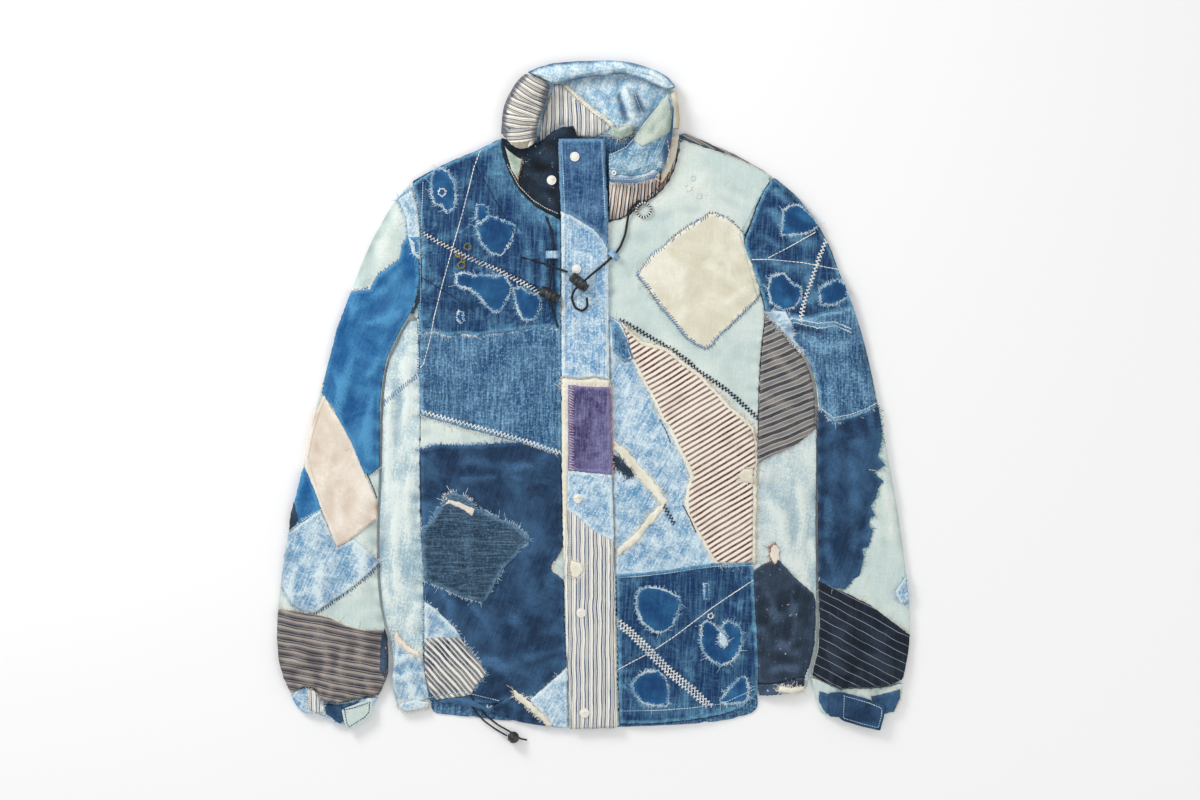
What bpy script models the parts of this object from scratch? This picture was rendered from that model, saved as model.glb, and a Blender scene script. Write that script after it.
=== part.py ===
"""Patched boro jacket, laid flat on its back with the front up.

+Y runs towards the collar, +X towards the wearer's left arm and +Z up from the surface.
Outlines are written in millimetres on the laid-out jacket and made in metres.
"""
import math

import bmesh
import bpy
from mathutils import Vector
from mathutils.bvhtree import BVHTree
from mathutils.geometry import delaunay_2d_cdt, intersect_point_line

# Driving dimensions, in millimetres
MM = 0.001
WALL = 2.4                # patchwork over base cloth and lining
SEAM = 0.3                # space between neighbouring pieces
ROLL = 3.7                # radius of a laid edge, to the outer face
BODY_TOP = 2 * ROLL       # outer face of the fronts above the surface
SLEEVE_CROWN = 1.6        # how much a sleeve is fuller along its middle
PATCH = 1.0               # thickness of an applied patch
HEM_DROP = 1.6            # the fronts come down on the back at hem and shoulder
HEM_DROP_WIDTH = 14.0
NECK_RISE = 0.6           # the collar starts this much above the fronts
STAND_RISE_RIGHT = 3.4    # the black stand's rise under the roll
STAND_RISE_LEFT = 8.6     # the striped stand's rise under the turned flap
STAND_RUN = 42.0
TUBE_TOP_POINTS = 8       # across the upper face of a sleeve or cuff
END_POINTS = 60           # along the curve of a sleeve's opening
CUFF_GAP = 0.45
CUFF_GATHER = 0.7         # height of the gathers at the cuffs, each way
CUFF_GATHER_PITCH = 36.0
TAB_LIFT = 0.4
PLACKET_WALL = 2.6
PLACKET_TOP_Z = 15.6      # outer face of the placket where it crosses the stand
FRONT_MEETING_X = -12.0
PANEL_SPACING = 32.0
FLAT_SPACING = 90.0
SMALL_SPACING = 17.0
PATCH_LOWEST_NORMAL = 0.55
SNAP_RADIUS = 6.0
SNAP_HEIGHT = 2.2
CORD_RADIUS = 1.5
CORD_STEP = 7.0
CORD_LIFT = 0.35          # keeps a cord's facets clear of the cloth
THIN_CORD_RADIUS = 1.1
THIN_CORD_STEP = 5.5
RING_RADIUS = 9.0
RING_TUBE = 1.6
SHIFT_X = 0.67             # brings the middle of the cloth's footprint to the origin
SHIFT_Y = -1.93

# Outlines on the laid-out jacket, in millimetres
SHOULDER_RIGHT = [(-117, 325), (-130, 318), (-150, 308), (-168, 301), (-200, 286), (-230, 269)]
SHOULDER_LEFT = [(109, 333), (130, 325), (150, 316), (170, 308), (185, 300), (200, 291), (219, 280)]
YOKE_SEAM_LEFT = [(109, 325), (120, 320), (140, 313), (165, 305), (180, 299), (196, 292), (219, 279)]
ARMHOLE_RIGHT = [(-230, 269), (-226, 255), (-220, 235), (-217, 205), (-216, 165), (-218, 138),
                 (-223, 118), (-228, 104)]
ARMHOLE_LEFT = [(224, 277), (212, 256), (204, 238), (196, 215), (188, 198), (189, 185),
                (197, 168), (204, 148), (210, 128), (216, 106)]
SLEEVE_OUTER_RIGHT = [(-230, 269), (-250, 246), (-264, 222), (-278, 198), (-291, 168), (-306, 128), (-322, 85),
                      (-333, 42), (-344, 6), (-355, -45), (-365, -88), (-376, -135), (-384, -175), (-391, -220),
                      (-396, -262), (-398, -300), (-396, -330), (-389, -352), (-381, -371)]
SLEEVE_INNER_RIGHT = [(-228, 104), (-240, 86), (-250, 65), (-259, 48), (-264, 20), (-267, -10), (-268, -60),
                      (-269, -110), (-271, -160), (-271, -205), (-269, -245), (-264, -278), (-259, -300),
                      (-257, -330), (-259, -356), (-269, -374)]
SLEEVE_HEM_RIGHT = [(-381, -371), (-365, -363), (-351, -366), (-338, -381), (-318, -383), (-295, -378),
                    (-269, -374)]
SLEEVE_OUTER_LEFT = [(224, 277), (240, 266), (256, 250), (271, 231), (285, 211), (298, 184), (310, 150),
                     (326, 110), (340, 65), (349, 25), (358, -15), (367, -68), (375, -110), (384, -165),
                     (390, -212), (395, -255), (397, -295), (394, -322), (390, -342), (387, -356)]
SLEEVE_INNER_LEFT = [(216, 106), (230, 91), (244, 73), (256, 61), (268, 48), (276, 24), (280, 0), (281, -40),
                     (281, -100), (280, -150), (281, -200), (281, -250), (282, -285), (280, -315), (274, -334),
                     (271, -349)]
SLEEVE_HEM_LEFT = [(387, -356), (368, -362), (348, -364), (325, -364), (306, -365), (290, -357), (271, -349)]
SIDE_EDGE_RIGHT = [(-231, 97), (-238, 86), (-248, 65), (-257, 48), (-262, 20), (-265, -10), (-266, -60), (-267, -110),
                   (-269, -160), (-269, -205), (-267, -245), (-262, -278), (-255, -302), (-251, -325),
                   (-254, -350), (-252, -372), (-246, -390)]
SIDE_SEAM_RIGHT = [(-222, 98), (-221, 86), (-219, 65), (-218, 45), (-217, 20), (-217, -10), (-218, -60), (-218, -110),
                   (-217, -160), (-215, -200), (-213, -240), (-213, -275), (-214, -305), (-214, -325),
                   (-212, -345), (-209, -365), (-206, -384)]
SIDE_EDGE_LEFT = [(222.5, 97), (231, 87), (243, 69), (254, 58), (266, 45), (274, 22), (278, -2), (279, -40), (279, -100),
                  (278, -150), (279, -200), (279, -250), (279, -285), (278, -312), (272, -332), (268, -350),
                  (267, -366)]
SIDE_SEAM_LEFT = [(214, 98), (213, 88), (211, 70), (209, 55), (208, 38), (207, 18), (206, -5), (206, -40), (203, -85),
                  (199, -110), (198, -150), (198, -200), (199, -245), (202, -290), (204, -320), (205, -348),
                  (206, -372)]
NECK_RIGHT = [(-117, 325), (-115, 305), (-108, 285), (-98, 265), (-88, 252), (-75, 240), (-60, 230),
              (-41, 221)]
NECK_LEFT = [(19, 221), (31, 223), (45, 230), (60, 242), (80, 255), (95, 275), (103, 296), (108, 322)]
HEM_RIGHT = [(-206, -384), (-180, -382), (-150, -388), (-118, -398), (-85, -408), (-57, -414), (-12, -416)]
HEM_LEFT = [(-12, -416), (30, -412), (80, -411), (120, -406), (160, -400), (185, -390), (206, -372)]
BACK_HEM = [(206, -374), (206, -394), (180, -403), (140, -409), (90, -412), (30, -414), (-30, -416),
            (-57, -414), (-100, -407), (-150, -402), (-206, -396), (-206, -386)]
PLACKET_LEFT_EDGE = [(-45, 323), (-43, 268), (-41, 225), (-41, 120), (-41, 0), (-40, -100), (-38, -200),
                     (-36, -290), (-33, -360), (-31, -416)]
PLACKET_RIGHT_EDGE = [(14, 323), (16, 268), (18, 225), (19, 120), (20, 0), (23, -100), (26, -200),
                      (27, -290), (28, -360), (30, -415)]
COLLAR_ROLL_OUTER = [(-117, 331), (-116, 342), (-115, 355), (-111, 370), (-104, 384), (-96, 396), (-86, 405)]
COLLAR_ROLL_INNER = [(-70, 320), (-71, 331), (-69, 345), (-64, 358), (-59, 370), (-56, 381), (-54, 390)]
COLLAR_BAND_OUTER = [(-84.5, 406.5), (-65, 415), (-45, 419), (-20, 420.5), (5, 421), (25, 421.5), (45, 419),
                     (60, 415), (75, 410), (88, 404), (97, 396), (103, 387)]
COLLAR_BAND_INNER = [(-53, 391.5), (-48, 390), (-38, 392), (-22, 397), (-5, 400), (12, 402), (26, 404),
                     (40, 404), (52, 401), (66, 394), (78, 389), (91, 384)]
COLLAR_SIDE_OUTER = [(107, 335), (107.5, 345), (106.5, 360), (105, 374), (103.5, 384)]
COLLAR_SIDE_INNER = [(91, 335), (92, 345), (94, 358), (96, 370), (96, 380.5)]
FLAP_FOLD = [(90, 380), (75, 360), (61, 343), (51, 326), (42, 314), (30, 307), (18, 304)]
FLAP_EDGE = [(100, 361), (99, 338), (96, 315), (90, 293), (78, 273), (46, 265), (18, 267)]
CUFF_END_RIGHT = [(-361, -397), (-346, -398), (-333, -402), (-318, -411), (-304, -407), (-286, -400)]
CUFF_OUTER_RIGHT = [(-373, -388), (-361, -397)]
CUFF_INNER_RIGHT = [(-277, -388), (-286, -400)]
CUFF_END_LEFT = [(376, -396), (358, -400), (338, -403), (312, -402), (285, -398)]
CUFF_OUTER_LEFT = [(385, -378), (376, -396)]
CUFF_INNER_LEFT = [(278, -378), (285, -398)]
TAB_RIGHT = [(-316, -391), (-300, -385), (-284, -379), (-277, -379), (-278, -395), (-284, -403),
             (-307, -416.5), (-312, -409)]
TAB_LEFT = [(294, -370), (303, -369), (310, -369), (330, -374), (346, -379), (360, -385), (364, -388),
            (363, -398), (358, -417.5), (335, -412), (311, -405), (306, -400.5), (294, -399.5)]
STAND_TOP_RIGHT = [(12, 319), (-21, 326), (-25, 338), (-42, 336), (-56, 328), (-67, 316), (-92, 318)]
STAND_TOP_LEFT = [(87, 331), (83, 304), (68, 290), (45, 284), (19, 284)]

# Cross-sections of the collar's rolls: share of the width out from the inner edge, and height
ROLL_SECTION = [(0.03, 9.5), (0.0, 15.5), (0.12, 21.5), (0.45, 26), (0.75, 23.5), (0.93, 17), (1.0, 9.5),
                (0.95, 3.2), (0.85, 0), (0.62, 0)]
BAND_SECTION = [(0.02, 7.5), (0.0, 12.5), (0.2, 17), (0.6, 18.5), (0.88, 14.5), (1.0, 8.2), (0.93, 2.4),
                (0.8, 0), (0.42, 0)]
SIDE_SECTION = [(0.0, 15.4), (0.35, 16), (0.72, 14), (0.94, 9.5), (1.0, 6.5), (0.94, 2.2), (0.78, 0), (0.4, 0)]
FLAP_SECTION = [(4.0, 10.5), (1.3, 15.5), (0.0, 20.5), (1.6, 25), (6.0, 28)]
FLAP_SECTION_SHARES = [(0.5, 27.5), (0.8, 23.0), (1.0, 19.2)]

# Applied patches: name, what carries it, convex outline and colour
PATCHES = [
    ("patch_mid_denim", "front_right", [(-215, 79), (-41.8, 83), (-41.4, -68), (-100, -53), (-215, -17)],
     (0.08, 0.16, 0.27)),
    ("patch_navy", "front_right", [(-216, -66), (-205, -62), (-90, -63.5), (-41.4, -72), (-38.8, -190),
                                   (-35.5, -335), (-75, -378), (-118, -370), (-212, -262)],
     (0.02, 0.05, 0.11)),
    ("patch_dark_denim", "patch_navy", [(-214, -168), (-184, -126), (-130, -143), (-82, -178), (-92, -190),
                                        (-136, -256), (-172, -247), (-212, -230)],
     (0.03, 0.06, 0.09)),
    ("patch_ticking", "front_right", [(-211, -305), (-179, -305), (-142, -348), (-156, -372), (-198, -378),
                                      (-211, -350)],
     (0.60, 0.56, 0.46)),
    ("patch_cream", "front_left", [(55, 152), (75, 182), (100, 202), (135, 222), (152, 228), (186, 206),
                                   (200, 165), (208, 130), (170, 90), (147, 66), (138, 62), (115, 76), (72, 133)],
     (0.75, 0.68, 0.55)),
    ("patch_brown_stripe", "front_left", [(36, 90), (62, 73), (100, 57), (168, 6), (205, -26), (203, -85),
                                          (199, -110), (198, -206), (152, -209), (122, -140)],
     (0.50, 0.38, 0.32)),
    ("patch_light_denim", "front_left", [(21, 95), (33, 92), (118, -142), (100, -214), (28.5, -220), (24.5, -95)],
     (0.40, 0.55, 0.68)),
    ("patch_indigo", "front_left", [(28.5, -222.5), (198, -207.5), (204, -350), (190, -386), (120, -402),
                                    (31.5, -406)],
     (0.06, 0.16, 0.34)),
    ("patch_purple", "placket", [(-30, 15), (19.5, 12), (21.5, -96), (-30, -92)], (0.08, 0.04, 0.12)),
    ("patch_peach", "sleeve_right", [(-340, 4), (-351, -20), (-364, -84), (-322, -186), (-271, -153),
                                     (-273, -130), (-303, -55), (-325, -15)],
     (0.78, 0.62, 0.50)),
    ("patch_washed_denim", "sleeve_right", [(-384, -172), (-330, -190), (-273, -210), (-348, -268), (-392, -250)],
     (0.40, 0.54, 0.68)),
]
SNAPS = [(-24, 300), (-22, 160), (-20, -127), (-16, -270), (-12, -395)]
STAND_SNAP = (-53, 271)
FLAP_EYELET = (25, 279)
NECK_RING = (62, 234)
LOOP_RIGHT = (-52, 178)
LOOP_LEFT = (25, 177)
LOCK_LEFT = (-18, 142.5)
LOCK_LEFT_AXIS = (0.76, -0.65)
LOCK_RIGHT = (-55, 127)
LOCK_RIGHT_AXIS = (0.9, -0.44)
LOCK_LENGTH = 26.0
LOCK_RADIUS = 6.8
HEM_LOCK = (-101, -426)
HEM_LOCK_RADIUS = 7.5

# Cord routes, points chosen by hand along what the photo shows
NECK_CORD_LEFT = [(57, 246), (45, 235), (42, 222), (39, 203), (33, 188), (25, 177), (15, 168), (3, 158), (-7, 149.5)]
NECK_CORD_LEFT_LOOP = [(-25, 133), (-28, 124), (-24, 112), (-15, 107), (-8, 113), (-9, 124)]
NECK_CORD_LEFT_TAIL = [(-33, 156), (-46, 161), (-60, 166), (-76, 171), (-92, 175)]
NECK_CORD_RIGHT = [(-60, 226), (-54, 210), (-51, 195), (-51, 178), (-53, 160), (-55, 136)]
NECK_CORD_RIGHT_TAIL = [(-54, 117), (-51, 107), (-48, 97), (-45, 87)]
HEM_CORD_UPPER = [(-154, -374), (-146, -386), (-134, -400), (-120, -411), (-106.5, -418)]
HEM_CORD_LOWER = [(-159, -378), (-150, -391), (-138, -405), (-124, -416), (-109, -424)]
HEM_CORD_TAIL = [(-92.4, -427.6), (-88, -429), (-84, -430)]

# Main folds: start, end, half width and height of each ridge or trough, in millimetres
BODY_FOLDS = [
    ((-70, 300), (-60, 215), 9, 2.2), ((-98, 250), (-66, 140), 8, 1.6), ((-150, 90), (-70, 100), 12, -0.9),
    ((-235, 80), (-226, -60), 11, 1.8), ((-248, -90), (-240, -250), 12, 2.4), ((-226, -150), (-232, -260), 8, -0.9),
    ((-200, -80), (-60, -84), 10, 1.4), ((-190, -330), (-60, -345), 14, 2.2), ((-170, -372), (-90, -380), 9, 1.8),
    ((-120, -150), (-60, -250), 22, 1.3), ((120, 260), (180, 170), 24, 1.2), ((150, 20), (100, -120), 26, 1.2),
    ((60, -300), (150, -250), 20, 1.2), ((60, -385), (180, -372), 9, 2.0), ((216, -140), (262, -230), 12, 2.0),
    ((246, 30), (215, -40), 13, 1.6), ((222, -320), (262, -345), 9, 2.4), ((232, -262), (226, -330), 10, 1.8),
]
SLEEVE_FOLDS = [
    ((-245, 220), (-275, 130), 14, 1.8), ((-300, 90), (-330, -20), 15, 1.6), ((-285, 60), (-290, -70), 13, 1.4),
    ((-350, -110), (-368, -230), 16, 1.5), ((-290, -130), (-300, -250), 15, 1.6), ((-372, -320), (-355, -355), 8, 3.2),
    ((-372, -300), (-300, -345), 12, 1.8), ((-330, -352), (-290, -368), 8, 2.4), ((232, 230), (285, 130), 15, 1.8),
    ((262, 150), (300, 60), 13, 1.4), ((315, 70), (345, -60), 16, 1.6), ((345, -70), (366, -200), 15, 1.7),
    ((300, -60), (310, -210), 18, 1.5), ((290, -290), (350, -330), 12, 2.0), ((310, -300), (300, -350), 8, 2.2),
    ((375, -310), (340, -348), 9, 2.6),
]
COLLAR_FOLDS = [((44, 385), (52, 352), 6, 5.0), ((-20, 352), (22, 345), 9, 1.8)]

solids = []
outer_faces = {}


def clean_scene():
    for item in list(bpy.data.objects):
        bpy.data.objects.remove(item, do_unlink=True)


def cloth(name, colour, roughness=0.92):
    """A matt Principled material."""
    material = bpy.data.materials.new(name)
    material.use_nodes = True
    shader = material.node_tree.nodes["Principled BSDF"]
    shader.inputs["Base Color"].default_value = (*colour, 1.0)
    shader.inputs["Roughness"].default_value = roughness
    shader.inputs["Metallic"].default_value = 0.0
    return material


def to_world(point):
    return Vector(((point[0] + SHIFT_X) * MM, (point[1] + SHIFT_Y) * MM, point[2] * MM))


def add_object(name, points, faces, colour, roughness=0.92):
    """One named mesh object from points in layout millimetres."""
    mesh = bpy.data.meshes.new(name)
    mesh.from_pydata([to_world(p) for p in points], [], faces)
    mesh.validate()
    mesh.update()
    mesh.shade_smooth()
    mesh.set_sharp_from_angle(angle=math.radians(45))
    mesh.materials.append(cloth(name, colour, roughness))
    item = bpy.data.objects.new(name, mesh)
    bpy.context.scene.collection.objects.link(item)
    solids.append(item)
    return item


def smoothstep(value):
    value = min(1.0, max(0.0, value))
    return value * value * (3 - 2 * value)


def as_points(outline):
    return [Vector((x, y)) for x, y in outline]


def curve_points(outline, count):
    """Evenly spaced points on a smooth curve through the outline's points."""
    knots = as_points(outline)
    fine = []
    for i in range(len(knots) - 1):
        before = knots[i - 1] if i else knots[i] * 2 - knots[i + 1]
        after = knots[i + 2] if i + 2 < len(knots) else knots[i + 1] * 2 - knots[i]
        for step in range(12):
            t = step / 12
            fine.append(0.5 * (2 * knots[i] + (knots[i + 1] - before) * t
                               + (2 * before - 5 * knots[i] + 4 * knots[i + 1] - after) * t * t
                               + (3 * knots[i] - before - 3 * knots[i + 1] + after) * t ** 3))
    fine.append(knots[-1])
    return at_shares(fine, [i / (count - 1) for i in range(count)])


def at_shares(line, shares):
    """Points at the given shares of a polyline's length."""
    lengths = [0.0]
    for a, b in zip(line, line[1:]):
        lengths.append(lengths[-1] + (b - a).length)
    found = []
    i = 0
    for share in shares:
        goal = share * lengths[-1]
        while i < len(line) - 2 and lengths[i + 1] < goal:
            i += 1
        span = max(lengths[i + 1] - lengths[i], 1e-9)
        found.append(line[i].lerp(line[i + 1], min(1.0, max(0.0, (goal - lengths[i]) / span))))
    return found


def distance_to_line(point, line):
    best = 1e9
    for a, b in zip(line, line[1:]):
        nearest, share = intersect_point_line(point, a, b)
        if share < 0:
            nearest = a
        elif share > 1:
            nearest = b
        best = min(best, (Vector(nearest[:2]) - point).length)
    return best


def fold_height(point, folds):
    total = 0.0
    for start, end, half_width, height in folds:
        away = distance_to_line(point, [Vector(start), Vector(end)])
        total += height * math.exp(-(away / half_width) ** 2)
    return total


def area_of(outline):
    return 0.5 * sum(a.x * b.y - b.x * a.y for a, b in zip(outline, outline[1:] + outline[:1]))


def inset(outline, distance):
    """Moves a closed outline inwards by a distance, corner by corner."""
    if area_of(outline) < 0:
        outline = outline[::-1]
    moved = []
    for i, here in enumerate(outline):
        into = (here - outline[i - 1]).normalized()
        out_of = (outline[(i + 1) % len(outline)] - here).normalized()
        left_in = Vector((-into.y, into.x))
        left_out = Vector((-out_of.y, out_of.x))
        bisector = (left_in + left_out).normalized()
        moved.append(here + bisector * distance / max(0.4, bisector.dot(left_out)))
    return moved


def without_repeats(outline, least=0.5):
    kept = []
    for point in outline:
        if not kept or (point - kept[-1]).length > least:
            kept.append(point)
    if (kept[0] - kept[-1]).length <= least:
        kept.pop()
    return kept


def inside(point, outline):
    crossing = False
    for a, b in zip(outline, outline[1:] + outline[:1]):
        if (a.y > point.y) != (b.y > point.y):
            if point.x < a.x + (point.y - a.y) * (b.x - a.x) / (b.y - a.y):
                crossing = not crossing
    return crossing


def triangulated(outline, spacing):
    """Triangles over an outline, with points on a staggered grid inside it."""
    edge = []
    for a, b in zip(outline, outline[1:] + outline[:1]):
        pieces = max(1, round((b - a).length / spacing))
        edge += [a.lerp(b, i / pieces) for i in range(pieces)]
    closed = edge + edge[:1]
    row_height = spacing * math.sqrt(3) / 2
    points = list(edge)
    low_y = min(p.y for p in edge)
    low_x = min(p.x for p in edge)
    for row in range(int((max(p.y for p in edge) - low_y) / row_height) + 2):
        for column in range(int((max(p.x for p in edge) - low_x) / spacing) + 2):
            spot = Vector((low_x + (column + 0.5 * (row % 2)) * spacing, low_y + row * row_height))
            if inside(spot, edge) and distance_to_line(spot, closed) > 0.45 * spacing:
                points.append(spot)
    found = delaunay_2d_cdt(points, [], [list(range(len(edge)))], 1, 1e-6)
    return found[0], found[2]


def border_edges(faces):
    """The directed edges that only one face uses."""
    used = {(f[i], f[(i + 1) % len(f)]) for f in faces for i in range(len(f))}
    return [(a, b) for a, b in used if (b, a) not in used]


def slab(name, flat_points, faces, top, bottom, colour):
    """A closed sheet between two heights over the same triangles."""
    count = len(flat_points)
    points = [(p[0], p[1], t) for p, t in zip(flat_points, top)]
    points += [(p[0], p[1], b) for p, b in zip(flat_points, bottom)]
    faces = [list(f) for f in faces]
    first = [flat_points[i] for i in faces[0]]
    if area_of([Vector(p[:2]) for p in first]) < 0:
        faces = [f[::-1] for f in faces]
    under = [[i + count for i in f[::-1]] for f in faces]
    sides = []
    for a, b in sorted(border_edges(faces)):
        sides += [[b, a, a + count], [b, a + count, b + count]]
    outer_faces[name] = (points[:count], faces)
    return add_object(name, points, faces + under + sides, colour)


def sheet(name, outline, height, wall, colour, spacing=PANEL_SPACING, gap=SEAM, rests=False):
    """A laid panel whose outer face follows a height function."""
    flat, faces = triangulated(inset(without_repeats(outline), gap), spacing)
    top = [height(p) for p in flat]
    bottom = [0.0 if rests else t - wall for t in top]
    return slab(name, flat, faces, top, bottom, colour)


def patch_on(name, base, outline, colour, wall=PATCH):
    """A convex patch cut from the outer triangles of what carries it and moved out."""
    corners = as_points(outline)
    if area_of(corners) < 0:
        corners = corners[::-1]
    points, faces = outer_faces[base]
    mesh = bmesh.new()
    verts = [mesh.verts.new(p) for p in points]
    for f in faces:
        a, b, c = (Vector(points[i]) for i in f[:3])
        if (b - a).cross(c - a).normalized().z > PATCH_LOWEST_NORMAL:
            mesh.faces.new([verts[i] for i in f])
    for a, b in zip(corners, corners[1:] + corners[:1]):
        outwards = Vector((b.y - a.y, a.x - b.x, 0))
        geometry = mesh.verts[:] + mesh.edges[:] + mesh.faces[:]
        bmesh.ops.bisect_plane(mesh, geom=geometry, dist=1e-4, plane_co=(a.x, a.y, 0), plane_no=outwards,
                               clear_outer=True)
    bmesh.ops.remove_doubles(mesh, verts=mesh.verts[:], dist=0.6)
    loose = [v for v in mesh.verts if not v.link_faces]
    bmesh.ops.delete(mesh, geom=loose, context="VERTS")
    bmesh.ops.triangulate(mesh, faces=mesh.faces[:])
    mesh.verts.ensure_lookup_table()
    mesh.verts.index_update()
    kept = [v.co.copy() for v in mesh.verts]
    kept_faces = [[v.index for v in f.verts] for f in mesh.faces]
    mesh.free()
    top = [p.z + SEAM + wall for p in kept]
    bottom = [p.z + SEAM for p in kept]
    return slab(name, [p.xy for p in kept], kept_faces, top, bottom, colour)


def grid_normals(rows, wrap):
    """Outward normals of a grid of points, from its neighbours along both ways."""
    high = len(rows)
    wide = len(rows[0])
    normals = []
    for i in range(high):
        line = []
        for j in range(wide):
            along = rows[min(i + 1, high - 1)][j] - rows[max(i - 1, 0)][j]
            if wrap:
                across = rows[i][(j + 1) % wide] - rows[i][j - 1]
            else:
                across = rows[i][min(j + 1, wide - 1)] - rows[i][max(j - 1, 0)]
            normal = along.cross(across)
            if i in (0, high - 1):
                ahead = rows[i][(j + 1) % wide] if wrap else rows[i][min(j + 1, wide - 1)]
                course = (ahead - rows[i][j - 1 if wrap or j else 0]).xy
                if course.length < 0.4:
                    course = (ahead - rows[i][j]).xy
                beside = Vector((-course.y, course.x, 0)).normalized()
                normal = normal - beside * normal.dot(beside)
            line.append(normal.normalized())
        normals.append(line)
    return normals


def grid_wall(name, rows, wall, colour, wrap=False, top_column=0, lowest=0.0):
    """A cloth wall of even thickness under a grid of outer points, closed at its rims.

    top_column is a column whose points face up, which tells the outer side.
    """
    normals = grid_normals(rows, wrap)
    turn = 1.0 if normals[len(rows) // 2][top_column].z > 0 else -1.0
    high = len(rows)
    wide = len(rows[0])
    outer = [p for row in rows for p in row]
    inner = []
    for i in range(high):
        for j in range(wide):
            spot = rows[i][j] - normals[i][j] * turn * wall
            inner.append(Vector((spot.x, spot.y, max(lowest, spot.z))))
    count = len(outer)
    faces = []
    columns = wide if wrap else wide - 1
    for i in range(high - 1):
        for j in range(columns):
            k = (j + 1) % wide
            a, b, c, d = i * wide + j, (i + 1) * wide + j, (i + 1) * wide + k, i * wide + k
            faces += [[a, b, c], [a, c, d]] if turn > 0 else [[a, c, b], [a, d, c]]
    under = [[i + count for i in f[::-1]] for f in faces]
    rims = []
    for a, b in sorted(border_edges(faces)):
        rims += [[b, a, a + count], [b, a + count, b + count]]
    outer_faces[name] = ([tuple(p) for p in outer], faces)
    return add_object(name, [tuple(p) for p in outer + inner], faces + under + rims, colour)


def smooth_section(section, count):
    """Evenly spaced points on a smooth curve through a cross-section's points."""
    return [(p.x, p.y) for p in curve_points(section, count)]


def rolled_piece(name, outer, inner, section, colour, stations, samples=14, bow=None, lowest=0.0):
    """A piece that rolls over an edge: one cross-section at each station between two lines."""
    outer_line = curve_points(outer, stations)
    inner_line = curve_points(inner, stations)
    rows = []
    for i in range(stations):
        width = (outer_line[i] - inner_line[i]).length
        scaled = [(share * width, height) for share, height in section]
        row = []
        for reach, height in smooth_section(scaled, samples):
            share = reach / width
            spot = inner_line[i].lerp(outer_line[i], share)
            if bow and height > 12:
                spot = spot + Vector(bow) * math.sin(math.pi * min(1.0, max(0.0, share))) * max(0.0, 1 - i / 2)
            row.append(Vector((spot.x, spot.y, max(0.0, height))))
        rows.append(row)
    top = max(range(samples), key=lambda j: rows[stations // 2][j].z)
    return grid_wall(name, rows, WALL, colour, top_column=top, lowest=lowest)


def leg_end(outer, inner, share, stations):
    outer_line = curve_points(outer, stations)
    inner_line = curve_points(inner, stations)
    return [b.lerp(a, share) for a, b in zip(outer_line, inner_line)]


def body_height(point):
    """Outer face of the fronts and side panels."""
    hem = curve_points(HEM_RIGHT + HEM_LEFT[1:], 12)
    edge_lines = [hem, as_points(SHOULDER_RIGHT), as_points(YOKE_SEAM_LEFT)]
    away = min(distance_to_line(point, line) for line in edge_lines)
    drop = HEM_DROP * (1 - smoothstep(away / HEM_DROP_WIDTH))
    folds = max(-0.9, fold_height(point, BODY_FOLDS))
    return BODY_TOP - drop + folds * smoothstep(away / 20)


def stand_height(point, neck, rise):
    away = distance_to_line(point, neck)
    return BODY_TOP + NECK_RISE + rise * smoothstep(away / STAND_RUN)


def coons(top, bottom, left, right, share_across, share_down):
    """A point of the patch between four edge curves."""
    u, v = share_across, share_down
    across = at_shares(top, [u])[0] * (1 - v) + at_shares(bottom, [u])[0] * v
    down = at_shares(left, [v])[0] * (1 - u) + at_shares(right, [v])[0] * u
    corners = (top[0] * (1 - u) + top[-1] * u) * (1 - v) + (bottom[0] * (1 - u) + bottom[-1] * u) * v
    return across + down - corners


def tube_shares(width):
    """Where a flattened tube's ring has its points: share of the width, and height at the rolls."""
    angles = [math.pi * (0.5 - i / 4) for i in range(5)]
    near = [((ROLL - ROLL * math.cos(a)) / width, ROLL + ROLL * math.sin(a)) for a in angles]
    top_shares = [i / (TUBE_TOP_POINTS + 1) for i in range(1, TUBE_TOP_POINTS + 1)]
    edge_share = ROLL / width
    top = [(edge_share + (1 - 2 * edge_share) * s, None) for s in top_shares]
    far = [(1 - share, height) for share, height in near[::-1]]
    under = [(share, 0.0) for share, _ in top[::2]]
    return near[::-1] + top + far[::-1], under[::-1]


def sleeve_height(point, away):
    folds = fold_height(point, SLEEVE_FOLDS)
    return 2 * ROLL + (SLEEVE_CROWN + max(-0.8, folds)) * smoothstep((away - ROLL) / 26)


def cuff_height(point, away):
    gathers = CUFF_GATHER * math.sin(math.tau * point.x / CUFF_GATHER_PITCH)
    return 2 * ROLL + gathers * smoothstep((away - ROLL) / 8)


def beyond(line, distance):
    """A line moved sideways, to its left as it runs."""
    moved = []
    for i, here in enumerate(line):
        course = (line[min(i + 1, len(line) - 1)] - line[max(i - 1, 0)]).normalized()
        moved.append(here + Vector((course.y, -course.x)) * distance)
    return moved


def laid_tube(name, upper_end, lower_end, outer_edge, inner_edge, colour, height_at, stations):
    """A tube of cloth laid flat: one wall whose rings run from its upper to its lower opening."""
    top = upper_end if len(upper_end) == END_POINTS else curve_points(upper_end, END_POINTS)
    bottom = curve_points(lower_end, END_POINTS)
    left = curve_points(outer_edge, 90)
    right = curve_points(inner_edge, 90)
    rows = []
    for i in range(stations):
        down = i / (stations - 1)
        width = (at_shares(left, [down])[0] - at_shares(right, [down])[0]).length
        above, under = tube_shares(width)
        row = []
        for share, height in above + under:
            spot = coons(top, bottom, left, right, share, down)
            if height is None:
                height = height_at(spot, min(share, 1 - share) * width)
            row.append(Vector((spot.x, spot.y, height)))
        rows.append(row)
    grid_wall(name, rows, WALL, colour, wrap=True, top_column=len(above) // 2)
    first = [p.xy for p in rows[0]]
    last = len(above) - 1
    over = first[2:last - 1]
    below = first[2::-1] + first[last + 1:][::-1] + first[last:last - 3:-1]
    return over, below, bottom


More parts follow.
